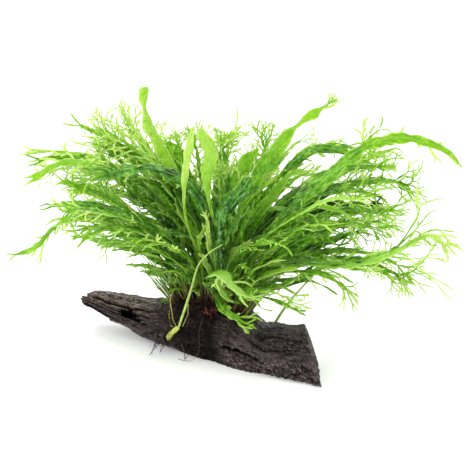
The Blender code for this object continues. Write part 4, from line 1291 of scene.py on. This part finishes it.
def grow_lobe(bm, chain, angle, width, length, forks, rise, bend, age, draw, fan=0.32, least=THINNEST):
    """Grow a lobe from a chain, and fork it until it ends in tips; least is the tips' width."""
    centre = (chain[0].co + chain[-1].co) / 2
    first_width = (chain[-1].co - chain[0].co).length
    steps = max(3, round(length / STEP))
    tip_layer = bm.verts.layers.float["tip"]
    swing, curl, phase = draw.uniform(-0.35, 0.35), draw.uniform(-0.8, 0.8), draw.uniform(0, 6.3)
    for k in range(1, steps + 1):
        part = k / steps
        way = angle + bend * part + swing * (math.sin(phase + 5.0 * part) - math.sin(phase))
        centre = centre + Vector((math.sin(way), math.cos(way), rise + curl * part)) * (length / steps)
        wide = first_width + (width - first_width) * min(1.0, 2.2 * part)
        if forks == 0:
            wide *= 1.0 - 0.60 * part ** 3
        chain = push_chain(bm, chain, centre, way, wide)
        for vert in chain:
            vert[tip_layer] = min(1.0, age + 0.22 * part)
    if forks == 0:
        return
    for side, half in zip((-1, 1), part_chain(bm, chain)):
        more = forks - 1 if draw.random() < 0.85 else max(forks - 2, 0)
        grow_lobe(bm, half, way + side * fan * draw.uniform(0.5, 1.4), max(width * 0.76, least),
                  length * draw.uniform(0.6, 1.15), more, rise + 0.6 * curl + draw.uniform(-0.3, 0.3),
                  side * draw.uniform(-0.35, 0.5), age + 0.22, draw, fan, least)


# %% [markdown]
# ### Finish of the fronds
# The finish is two layers. The leaf mirrors light like any wet surface, and it lets light through, which
# is what makes thin tips glow yellow-green against the light. So a glossy shader and a translucent one
# are mixed. Both take their colour from a `tone_and_shading` attribute: the frond's own tone, with painted
# shade that makes it dark at the foot, in the middle of the tuft, and painted glow that makes it bright at
# the tips. Over it fine noise, painted reflection streaks, a pale midrib and slanting veins are laid, and
# on wet leaves a painted sheen. A second ramp serves the wet leaves, whose greens are bluer. The
# `leaf_place` attribute holds each point's place in the flat pattern, in mm, so that streaks, rib and
# veins follow the leaf; its third part is the share of the length.

# %% Material of the fronds
GREENS = ((0.0, (0.010, 0.042, 0.002)), (0.25, (0.042, 0.165, 0.004)), (0.5, (0.142, 0.385, 0.008)),
          (0.75, (0.350, 0.670, 0.030)), (1.0, (0.740, 0.920, 0.270)))
WET_GREENS = ((0.0, (0.004, 0.030, 0.006)), (0.25, (0.014, 0.105, 0.010)), (0.5, (0.060, 0.280, 0.024)),
              (0.75, (0.200, 0.520, 0.070)), (1.0, (0.480, 0.780, 0.200)))


def frond_finish(name):
    """Wet green leaf letting light through: midrib, veins, flecks, brown stalk, painted sheen and streaks.
    """
    mat, shader, output = new_material(name)
    where = add_node(mat, "TexCoord").outputs["Object"]
    tone_and_shading, edge, wetness = [read_of(mat, layer) for layer in ("tone_and_shading", "edge", "wet")]
    flat = read_of(mat, "leaf_place", "Vector")
    parts = add_node(mat, "SeparateXYZ", {"Vector": flat}).outputs
    across, up, share = parts["X"], parts["Y"], parts["Z"]
    # brightness: broad and small noise, drawn-out streaks of painted reflection, plainer on bright leaves,
    # and lighter along the margin
    small, broad = noise_of(mat, where, 380.0), noise_of(mat, where, 75.0, 3.0)
    blotches = math_of(mat, "MULTIPLY_ADD", small, 0.25, broad)
    streaks = noise_of(mat, stretch_of(mat, flat, (0.9, 0.10, 40.0)), 1.0)
    both = math_of(mat, "MULTIPLY_ADD", streaks, 1.25, blotches)
    lively = range_of(mat, tone_and_shading, 0.45, 0.75, 1.30, 0.24)
    toned = math_of(mat, "MULTIPLY_ADD", math_of(mat, "ADD", both, -1.27), lively, tone_and_shading)
    bright = math_of(mat, "MULTIPLY_ADD", edge, 0.27, toned)
    colour = blend_of(mat, wetness, ramp_of(mat, bright, GREENS), ramp_of(mat, bright, WET_GREENS))
    # a pale midrib, and darker veins that slant away from it
    off_rib = math_of(mat, "ABSOLUTE", across)
    pale = blend_of(mat, 0.36, colour, (0.44, 0.64, 0.14, 1.0))
    colour = blend_of(mat, range_of(mat, off_rib, 0.75, 0.25), colour, pale)
    slant = math_of(mat, "MULTIPLY_ADD", off_rib, -0.9, up)
    vein = math_of(mat, "SINE", math_of(mat, "MULTIPLY", slant, 2.2))
    colour = blend_of(mat, range_of(mat, vein, 0.6, 1.0, 0.0, 0.10), colour, (0.015, 0.07, 0.01, 1.0))
    # brown flecks of old tissue and algae
    old = ramp_of(mat, noise_of(mat, where, 150.0, 6.0), ((0.67, 0.0), (0.76, 0.45)))
    colour = blend_of(mat, old, colour, (0.11, 0.085, 0.02, 1.0))
    # a painted sheen: pale streaks that stand for wet reflections, stronger on the bluish leaves
    sheen = noise_of(mat, stretch_of(mat, flat, (0.75, 0.22, 40.0)), 0.8, 5.0)
    sheen_strength = math_of(mat, "MULTIPLY_ADD", wetness, 0.62, 0.10)
    painted_sheen = math_of(mat, "MULTIPLY", range_of(mat, sheen, 0.50, 0.66), sheen_strength)
    colour = blend_of(mat, painted_sheen, colour, (0.34, 0.60, 0.24, 1.0))
    # the brown foot of the stalk
    colour = blend_of(mat, range_of(mat, share, 0.02, 0.13), (0.105, 0.080, 0.018, 1.0), colour)

    wire(mat, colour, shader.inputs["Base Color"])
    set_inputs(shader, Roughness=0.27, IOR=1.45, Specular_IOR_Level=0.11, Coat_Roughness=0.15,
               Specular_Tint=(0.85, 1.0, 0.30, 1.0))
    wire(mat, math_of(mat, "MULTIPLY_ADD", wetness, 0.40, 0.04), shader.inputs["Coat Weight"])
    blisters = math_of(mat, "MULTIPLY_ADD", noise_of(mat, where, 1100.0, 3.0), 0.35,
                       noise_of(mat, where, 330.0, 2.0))
    normal = bump(mat, shader, blisters, 1.0, 0.0015)
    # light comes through, more of it towards the thin tips
    lit = blend_of(mat, 0.35, colour, (0.60, 0.90, 0.05, 1.0))
    glow = add_node(mat, "BsdfTranslucent", {"Color": lit, "Normal": normal})
    thin = range_of(mat, share, 0.15, 0.75, 0.26, 0.46)
    mixed = add_node(mat, "MixShader", {0: thin, 1: shader.outputs[0], 2: glow.outputs[0]})
    wire(mat, mixed.outputs[0], output.inputs["Surface"])
    return mat


frond_greens = frond_finish("frond_green")

# %% [markdown]
# ### Grow the tuft
# A frond that is more lace than leaf has side lobes all along its outer half; a leafy one has a few short
# ones. The words in `HABITS` say how each frond ends. The numbers in `TONES` set its place between dark
# and bright, and between yellowish and bluish. All draws of chance come from a generator that is seeded
# with the frond's number, so the plant is the same each time.

# %% Brightness and habit of each frond
# frond: how bright it is, and how far it is bluish and wet instead of yellowish
TONES = {
    "narrow_bright": (0.74, 0.0), "wide_bright": (0.66, 0.15), "light_leaf_front": (0.76, 0.45),
    "hanging_front": (0.46, 0.1), "bluish_front": (0.28, 1.0), "dark_arch": (0.34, 0.75),
    "dark_arch_right": (0.40, 0.45), "dark_blade_right": (0.26, 0.5), "dense_lace_right": (0.32, 0.4),
    "tall_right": (0.56, 0.35), "bright_left": (0.50, 0.6), "tall_left": (0.68, 0.0),
    "long_left": (0.50, 0.3), "hook_left": (0.56, 0.2), "oval_left": (0.42, 0.2),
    "leaf_centre": (0.52, 0.2), "crest_top": (0.44, 0.5), "inner_left": (0.40, 0.3),
    "big_arch_right": (0.50, 0.5), "wavy_left": (0.46, 0.6), "upper_left_back": (0.56, 0.1),
    "crest_up_left": (0.55, 0.2), "lace_mid_left": (0.52, 0.1), "blade_front_right": (0.44, 0.2),
    "lace_mid_front_right": (0.38, 0.2), "leaf_to_viewer": (0.42, 0.2), "low_left_front": (0.46, 0.1),
    "lace_front_right": (0.56, 0.1), "lowest_right": (0.52, 0.1), "low_left_back": (0.56, 0.1),
    "lace_mid_right": (0.40, 0.3), "mid_right_far": (0.44, 0.3), "lace_low_left": (0.42, 0.5),
    "lace_below_left": (0.43, 0.3), "mid_left_lace_back": (0.44, 0.2), "fill_low_left": (0.42, 0.2),
    "leaf_low_left": (0.52, 0.3), "long_low_right": (0.44, 0.3),
}
# the share of its length from which a wet frond is dry; 0.80 for the others
DRY_FROM = {
    "bluish_front": 1.0, "dark_arch": 0.88, "big_arch_right": 0.58, "tall_right": 0.62,
    "light_leaf_front": 0.9,
}
# how a frond ends; one that isn't named is lace, an antler or a leaf, by the spread of its crest
HABITS = {
    "tall_left": "strap", "long_left": "tongue", "big_arch_right": "tongue",
    "dark_arch_right": "tongue", "narrow_bright": "strap", "hook_left": "tongue",
    "tall_right": "ribbon", "dark_arch": "hand", "upper_left_back": "hand", "wide_bright": "strap",
    "oval_left": "strap", "leaf_centre": "strap", "light_leaf_front": "leaf", "hanging_front": "fan",
    "inner_left": "leaf", "inner_right": "leaf", "mid_left_back": "leaf", "mid_right_back": "leaf",
    "dense_lace_right": "crest", "lace_mid_right": "crest", "mid_right_far": "feather",
    "long_low_right": "spray", "bluish_front": "strap", "lace_mid_left": "crest",
    "lace_low_left": "arm", "mid_left_lace_back": "arm", "lace_below_left": "arm",
    "blade_front_right": "hand", "leaf_to_viewer": "leaf", "low_left_front": "hand",
    "lace_top_back": "crest", "wavy_left": "hand", "bright_left": "antler", "crest_top": "crest",
    "crest_centre": "crest", "crest_up_left": "crest",
}
# habit: where the blade ends; side lobes: from where, rows between them, angle, length in mm, forks;
# forks of the crest and the fan of each fork
HABIT_SHAPES = {
    "strap": (1.0, 2.0, 9, 0.5, 3.0, 0, 0, 0.20),
    "tongue": (0.95, 0.72, 9, 0.50, 4.0, 0, 1, 0.30),
    "leaf": (0.93, 0.66, 3, 0.60, 2.8, 0, 1, 0.30),
    "ribbon": (0.93, 2.0, 9, 0.5, 3.0, 0, 2, 0.36),
    "hand": (0.87, 0.58, 4, 0.40, 4.4, 1, 2, 0.24),
    "fan": (0.72, 0.40, 3, 0.65, 4.0, 0, 2, 0.40),
    "antler": (0.84, 0.50, 3, 0.55, 4.2, 1, 3, 0.34),
    "lace": (0.80, 0.42, 3, 0.52, 4.6, 1, 3, 0.36),
    "feather": (0.88, 0.44, 2, 0.75, 4.6, 1, 3, 0.40),
    "crest": (0.83, 0.56, 1, 0.70, 8.0, 2, 4, 0.36),
    "arm": (0.86, 0.56, 2, 0.50, 9.0, 1, 3, 0.34),
    "spray": (0.74, 0.50, 4, 0.55, 9.0, 1, 3, 0.42),
}
# width of the last forks in mm, where they are broader than THINNEST
BROAD_TIPS = {"hand": 1.7, "tongue": 1.6, "arm": 1.4, "spray": 1.3, "fan": 1.5, "ribbon": 1.2}
# how much wider or narrower than the others these habits open their crest
CREST_FAN = {"hand": 0.7, "fan": 1.8}
# single lobes that the photograph shows: share, side, angle, width, length, forks, fan
SINGLE_LOBES = {
    "big_arch_right": ((0.695, -1, 1.15, 2.2, 5.5, 2, 0.50), (0.88, 1, 0.75, 2.0, 8.0, 1, 0.35)),
    "dark_arch_right": ((0.73, 1, 1.25, 4.0, 4.5, 0, 0.3),),
    "long_left": (
        (0.66, 1, 0.25, 2.2, 17.0, 0, 0.3), (0.80, 1, 0.9, 1.6, 5.0, 0, 0.3),
        (0.82, -1, 0.9, 1.8, 6.0, 1, 0.4), (0.86, -1, 0.6, 1.8, 8.0, 0, 0.4),
        (0.84, 1, 0.8, 1.6, 4.0, 0, 0.4), (0.78, -1, 0.7, 1.6, 5.0, 0, 0.4)),
    "long_low_right": (
        (0.60, -1, 0.5, 1.6, 16.0, 2, 0.35), (0.68, 1, 0.55, 1.6, 16.0, 2, 0.35),
        (0.54, 1, 0.6, 1.6, 12.0, 2, 0.35)),
    "hook_left": (
        (0.66, 1, 0.35, 3.6, 20.0, 1, 0.25), (0.76, 1, 0.8, 1.8, 7.0, 1, 0.3),
        (0.82, 1, 0.5, 2.0, 9.0, 1, 0.3), (0.72, -1, 0.6, 1.8, 6.0, 1, 0.3)),
    "tall_right": (
        (0.92, -1, 0.5, 2.0, 4.0, 1, 0.4), (0.93, 1, 0.6, 2.0, 4.0, 1, 0.4),
        (0.86, 1, 0.9, 2.6, 2.5, 0, 0.3)),
    "light_leaf_front": (
        (0.80, 1, 0.8, 1.8, 12.0, 0, 0.3), (0.86, -1, 0.6, 1.6, 6.0, 1, 0.4),
        (0.62, 1, 0.9, 1.8, 6.0, 1, 0.4), (0.70, -1, 0.8, 1.8, 8.0, 1, 0.35)),
}
print("habits", sorted(set(HABITS.values())))

# %% [markdown]
# Now the pattern of one frond can be put together: the blade, the lobes along its two margins, and the
# crest that the blade's end is parted into. Last each point gets its colour attributes.

# %% Lobes, crest and colours of a pattern
OFF_THE_RIB = 9.0      # the distance from the midrib that lobes are given, so that none has a rib, mm


def margin_chain(rows, row, side):
    """The margin's edge at a row, turned so that a lobe grows outwards from it."""
    column = -1 if side > 0 else 0
    low, high = rows[row][column], rows[row + 1][column]
    return [high, low] if side > 0 else [low, high]


def grow_side_lobes(bm, rows, habit, single, draw):
    """Lobes on both margins: first the single ones, then the habit's own where no single one stands."""
    end, lobes_from, spacing, angle, lobe_length, lobe_forks, _, fan = HABIT_SHAPES[habit]
    least = BROAD_TIPS.get(habit, THINNEST)
    used = set()
    for share, side, way, wide, reach, forks, opened in single:
        row = min(int(len(rows) * share / end), len(rows) - 2)
        used.add((row, side))
        grow_lobe(bm, margin_chain(rows, row, side), side * way, wide, reach, forks,
                  draw.uniform(-0.2, 0.2), -side * 0.2, 0.25, draw, opened, least)
    start = int(len(rows) * lobes_from / end)
    side = draw.choice((-1, 1))
    row = start
    while row < len(rows) - 2:
        out = (row - start) / max(len(rows) - start, 1)
        if (row, side) not in used:
            bulge = 0.55 + 0.45 * math.sin(math.pi * (0.15 + 0.7 * out))
            reach = lobe_length * bulge * draw.uniform(0.6, 1.3)
            way = side * angle * draw.uniform(0.6, 1.35)
            forks = lobe_forks if draw.random() < 0.8 else max(lobe_forks - 1, 0)
            grow_lobe(bm, margin_chain(rows, row, side), way, 1.1 * least, reach, forks,
                      draw.uniform(-0.5, 0.5), -side * draw.uniform(-0.2, 0.6), 0.15 + 0.25 * out, draw,
                      fan, least)
        row += spacing + draw.randint(-2, 1) if spacing > 3 else draw.randint(1, 3)
        side = -side if draw.random() < 0.85 else side


def grow_crest(bm, rows, habit, length, spread, draw):
    """Part the blade's end in two or four chains, and let each grow and fork."""
    end, _, _, _, _, _, levels, fan = HABIT_SHAPES[habit]
    if levels == 0:
        return
    least = BROAD_TIPS.get(habit, THINNEST)
    reach = (1.0 - end) * length / levels
    chains = part_chain(bm, rows[-1])
    if levels > 1:
        chains = [part for half in chains for part in part_chain(bm, half)]
    for k, chain in enumerate(chains):
        lean = (k + 0.5) / len(chains) * 2 - 1
        way = lean * (0.10 + spread / 36.0) * CREST_FAN.get(habit, 1.0)
        grow_lobe(bm, chain, way, max(1.6, 1.2 * least), reach * draw.uniform(0.75, 1.2), levels - 1,
                  draw.uniform(-0.25, 0.25), -lean * draw.uniform(-0.2, 0.4), 0.2, draw, fan, least)


def add_layers(bm):
    """The attributes that the frond's material reads, and tip, how far out on a lobe a point lies."""
    for layer in ("tip", "tone_and_shading", "edge", "wet"):
        bm.verts.layers.float.new(layer)
    bm.verts.layers.float_vector.new("leaf_place")


def set_colours(bm, length, tone):
    """Fill in brightness, wetness and place in the leaf; tone is bright, wet and dry from where.

    Brightness is the frond's tone with painted shade towards its foot and painted glow towards its tips.
    """
    bright, wet, dry_from = tone
    tip_layer, shade_layer, wet_layer = [bm.verts.layers.float[name] for name in ("tip", "tone_and_shading", "wet")]
    place_layer = bm.verts.layers.float_vector["leaf_place"]
    for vert in bm.verts:
        share = vert.co.y / length
        tip = vert[tip_layer]
        # painted shade: darker towards the foot, in the middle of the tuft; painted glow: brighter towards
        # the end and out on the lobes
        tone_and_shading = bright * (0.46 + 0.64 * ramp(share, 0.1, 0.75)) + 0.08 * ramp(share, 0.6, 1.0)
        vert[shade_layer] = tone_and_shading + 0.32 * tip + 0.05
        vert[wet_layer] = wet * (1.0 - 0.8 * tip) * (1.0 - 0.85 * ramp(share, dry_from, dry_from + 0.15))
        off = vert.co.x if tip == 0.0 else OFF_THE_RIB
        vert[place_layer] = Vector((off, vert.co.y, share))


def leafy_pattern(length, width, spread, habit, shape, single, tone, draw):
    """The flat pattern of one frond with its lobes and its colour attributes; a bmesh in mm."""
    end = HABIT_SHAPES[habit][0]
    bm = bmesh.new()
    add_layers(bm)
    if shape is None:
        stretch = draw.uniform(0.8, 1.2)
        shape = [(end * share ** stretch, wide * draw.uniform(0.82, 1.14)) for share, wide in BLADE_SHAPE]
    rows = flat_blade(bm, length, width, end, shape, draw)
    grow_side_lobes(bm, rows, habit, single, draw)
    grow_crest(bm, rows, habit, length, spread, draw)
    set_colours(bm, length, tone)
    return bm


# %% [markdown]
# Few fronds of the real tuft stand alone. Beside most of them smaller ones rise from the same stalk, and
# thin ones fill the tuft low down. Each of these is a copy of the frond's route, drawn in and led aside.
# Short leaves also grow at the foot, in front of the rhizome. Where the photograph shows a frond by
# itself, nothing large is put beside it.

# %% Leaves beside and below each frond
# fronds that end a little off their solids
OWN_ROUTES = {
    "low_left_front": ((-19, -24, 73), (-33, -43, 93), (-47, -58, 104), (-61, -69, 105)),
    "oval_left": ((-11, 9, 82), (-20, 16, 115), (-29, 20, 137), (-38, 22, 152)),
    "bluish_front": ((-2, -40, 106), (0, -48, 121), (5, -55, 131), (12, -60, 139), (19, -63, 147)),
    "hanging_front": ((-4, -18, 50), (-1, -26, 46), (6, -34, 42), (16, -40, 38), (27, -44, 36)),
}
# crests that show behind a frond: route, width, habit and brightness
BEHIND = {
    "oval_left": (
        (((-11, 12, 84), (-20, 22, 118), (-30, 28, 144), (-33, 30, 164)), 5, "crest", 0.55),
        (((-8, 14, 84), (-13, 24, 118), (-19, 30, 144), (-22, 32, 163)), 5, "crest", 0.50)),
    "upper_left_back": ((
        ((-22, 22, 78), (-50, 34, 108), (-84, 42, 120), (-118, 48, 112)), 7, "arm", 0.50),),
}
# blades that face the viewer more, or less, than their solids do
OWN_FACING = {
    "bluish_front": 1.3, "hanging_front": 1.3, "light_leaf_front": 0.5, "dense_lace_right": 1.2,
}
# how wide a blade is against its solid's; 0.80 for the others
BLADE_SCALE = {
    "tall_right": 0.95, "big_arch_right": 1.0, "wide_bright": 0.72, "narrow_bright": 0.72,
    "oval_left": 1.1, "light_leaf_front": 1.0, "bright_left": 0.95, "dark_arch": 1.0, "tall_left": 0.95,
    "leaf_centre": 1.0, "hook_left": 1.05, "long_low_right": 0.85, "bluish_front": 1.05,
}
# how many large leaves grow beside a frond; one for the others
BESIDE = {
    "crest_up_left": 4, "bright_left": 4, "lace_mid_left": 3, "upper_left_back": 3, "inner_left": 3,
    "dense_lace_right": 3, "lace_mid_right": 2, "mid_right_far": 2, "lace_low_right": 2,
    "lace_low_left": 3, "lace_below_left": 3, "fill_low_left": 3, "leaf_low_left": 2,
    "arch_right_back": 2, "tall_left_back": 2, "wavy_left": 0, "mid_left_back": 0, "mid_right_back": 0,
}
# fronds beside which only plain leaves grow
QUIET = (
    "low_left_front", "bluish_front", "leaf_to_viewer", "blade_front_right", "lace_front_right",
    "leaf_low_left", "inner_left", "inner_right", "lace_mid_front_right",
)
# fronds beside which broad leaves grow
BROAD = ("lace_low_left", "lace_below_left", "fill_low_left", "crest_up_left")
# how many short leaves grow at a frond's foot, in front of the rhizome; none for the others
FOOT_LEAVES = {
    "low_left_front": 5, "narrow_bright": 1, "wide_bright": 1, "bluish_front": 2, "leaf_to_viewer": 3,
    "blade_front_right": 3, "lace_front_right": 4, "leaf_low_left": 3, "lace_low_left": 2,
    "lowest_right": 3, "long_low_right": 2, "lace_mid_front_right": 2, "lace_below_left": 5,
    "hanging_front": 1, "lace_low_right": 3, "wavy_left": 4, "fill_low_left": 3, "low_left_back": 3,
    "long_left": 3,
}
# fronds beside which nothing large grows
ALONE = (
    "long_left", "tall_left", "tall_right", "big_arch_right", "hook_left", "wide_bright",
    "narrow_bright", "light_leaf_front", "hanging_front", "lowest_right",
)
FAR_LEFT = -20.0       # seats further left than this have longer foot leaves that lean out, mm


def led_aside(seat, route, scale, aside):
    """A route drawn in towards its seat, and led aside more and more along it."""
    return [seat + (Vector(p) - seat) * scale + aside * ((i + 1) / len(route)) for i, p in enumerate(route)]


def small_fronds(name, seat, route, width, bright, draw):
    """Smaller leaves of the same stalk, as route, width, habit and brightness."""
    made = []
    for k in range(0 if name in ALONE else BESIDE.get(name, 1)):
        aside = Vector((draw.uniform(-10, 10), draw.uniform(-12, 12), draw.uniform(-9, 7)))
        points = led_aside(seat, route, draw.uniform(0.76, 1.02), aside)
        habit, wide = "leaf", width * 0.72
        if name not in QUIET:
            habit = draw.choice(("antler", "feather", "leaf", "hand", "crest"))
        if name in BROAD:
            habit, wide = draw.choice(("hand", "leaf", "leaf", "antler")), width
        made.append((points, wide, habit, bright + draw.uniform(-0.28, 0.28)))
    far_left = seat.x < FAR_LEFT
    for k in range(FOOT_LEAVES.get(name, 0)):
        aside = draw.uniform(-1.0, 0.0) if far_left else draw.uniform(-0.9, 0.9)
        lift = draw.uniform(0.6, 1.6) if far_left else draw.uniform(0.1, 1.1)
        way = Vector((aside, draw.uniform(-1.0, 0.2), lift)).normalized()
        reach = draw.uniform(16, 30) if far_left else draw.uniform(12, 22)
        droop = Vector((0, -0.15, -0.12)) * reach
        middle = seat + way * reach * 0.7 + droop * 0.2
        points = [seat + way * reach * 0.35, middle, seat + way * reach + droop]
        wide, habit = draw.uniform(2.4, 4.4), draw.choice(("leaf", "strap", "strap"))
        made.append((points, wide, habit, draw.uniform(0.42, 0.72) + (0.14 if far_left else 0.0)))
    for low in () if name in ("hanging_front", "long_left") else (0.28, 0.40, 0.54):
        aside = Vector((draw.uniform(-12, 12), draw.uniform(-12, 8), draw.uniform(-4, 12)))
        points = led_aside(seat, route, low * draw.uniform(0.85, 1.15), aside)
        habit = draw.choice(("leaf", "strap", "strap"))
        made.append((points, width * 0.42, habit, bright + draw.uniform(-0.20, 0.20)))
    return made


# %% [markdown]
# A frond's own leaf and its smaller ones go into one bmesh. Each curve wanders a little before the
# pattern is bent along it, and each blade sways about its midrib. A Solidify modifier gives the leaf its
# thickness, since a sheet without any would cast and pass light wrongly.

# %% Grow each frond
FROND_SEED = 100
LEAF_THICKNESS = 0.34  # mm
SHORT_LEAF = 36.0      # leaves up to this length have the outline FOOT_SHAPE, mm
STRAY, LITTLE_STRAY = 2.2, 0.9    # how far a midrib wanders off its route, and one that stands alone, mm


def let_wander(curve, number, reach):
    """Move the points of a curve by smooth noise, more of it from the foot on; number picks the noise."""
    for k, point in enumerate(curve):
        share = k / len(curve)
        stray = np.array(noise.noise_vector(Vector((share * 4.5, number, 0.5))))
        point += stray * reach * ramp(share, 0.05, 0.4)


def swaying(twist, sway, phase, waves):
    """A function that gives the turn of a blade about its midrib at a share of its length."""
    return lambda share: math.radians(twist) * (share - 0.35) + sway * math.sin(phase + waves * share)


def build_frond(index, name, seat, width, spread, facing, twist, route):
    """One frond and the smaller leaves beside it, bent along their routes; returns its faces."""
    draw = random.Random(FROND_SEED + index)
    habit = HABITS.get(name, "lace" if spread > 13 else "antler" if spread > 9 else "leaf")
    by_chance = (0.34 + 0.26 * draw.random(), 0.6 * draw.random() ** 2)
    bright, wet = TONES.get(name, by_chance)
    dry_from = DRY_FROM.get(name, 0.80)
    route = OWN_ROUTES.get(name, route)
    leaves = [(route, width * BLADE_SCALE.get(name, 0.80), habit, bright)]
    leaves += small_fronds(name, seat, route, width, bright, draw)
    leaves += BEHIND.get(name, ())
    frond = bmesh.new()
    add_layers(frond)
    for number, (points, wide, ends, lit) in enumerate(leaves):
        own = number == 0
        curve = smooth_route([seat] + [tuple(p) for p in points])
        let_wander(curve, index + 0.37 * number, LITTLE_STRAY if name in ALONE and own else STRAY)
        length = float(np.linalg.norm(np.diff(curve, axis=0), axis=1).sum())
        outline = OWN_SHAPES.get(name) if own else FOOT_SHAPE if length < SHORT_LEAF else None
        single = SINGLE_LOBES.get(name, ()) if own else ()
        bm = leafy_pattern(length, wide, spread, ends, outline, single, (lit, wet, dry_from), draw)
        sway = 0.12 if name in OWN_SHAPES and own else draw.uniform(0.25, 0.6)
        turns = swaying(twist, sway, draw.uniform(0, 6.3), draw.uniform(4.0, 9.0))
        bend_along(bm, curve, length, OWN_FACING.get(name, facing), turns)
        bmesh.ops.recalc_face_normals(bm, faces=bm.faces)
        part = bpy.data.meshes.new("part")
        bm.to_mesh(part)
        bm.free()
        frond.from_mesh(part)
        bpy.data.meshes.remove(part)
    piece = stand_in("fern_" + name, frond, frond_greens, ["frond_" + name])
    skin = piece.modifiers.new("skin", "SOLIDIFY")
    skin.thickness = LEAF_THICKNESS * MM
    skin.offset = 0.0
    return len(piece.data.polygons)


faces, index = 0, 0
for row_name, seat_angle, first_seat, last_seat, fronds in ROWS:
    for k, (name, width, spread, facing, twist, route) in enumerate(fronds):
        share = first_seat + (last_seat - first_seat) * (k + 0.5) / len(fronds)
        seat = seat_on_rhizome(share, seat_angle, SEAT_GAP + 1.0)
        faces += build_frond(index, name, seat, width, spread, facing, twist, route)
        index += 1
    print("row", row_name, "done, faces so far", faces)
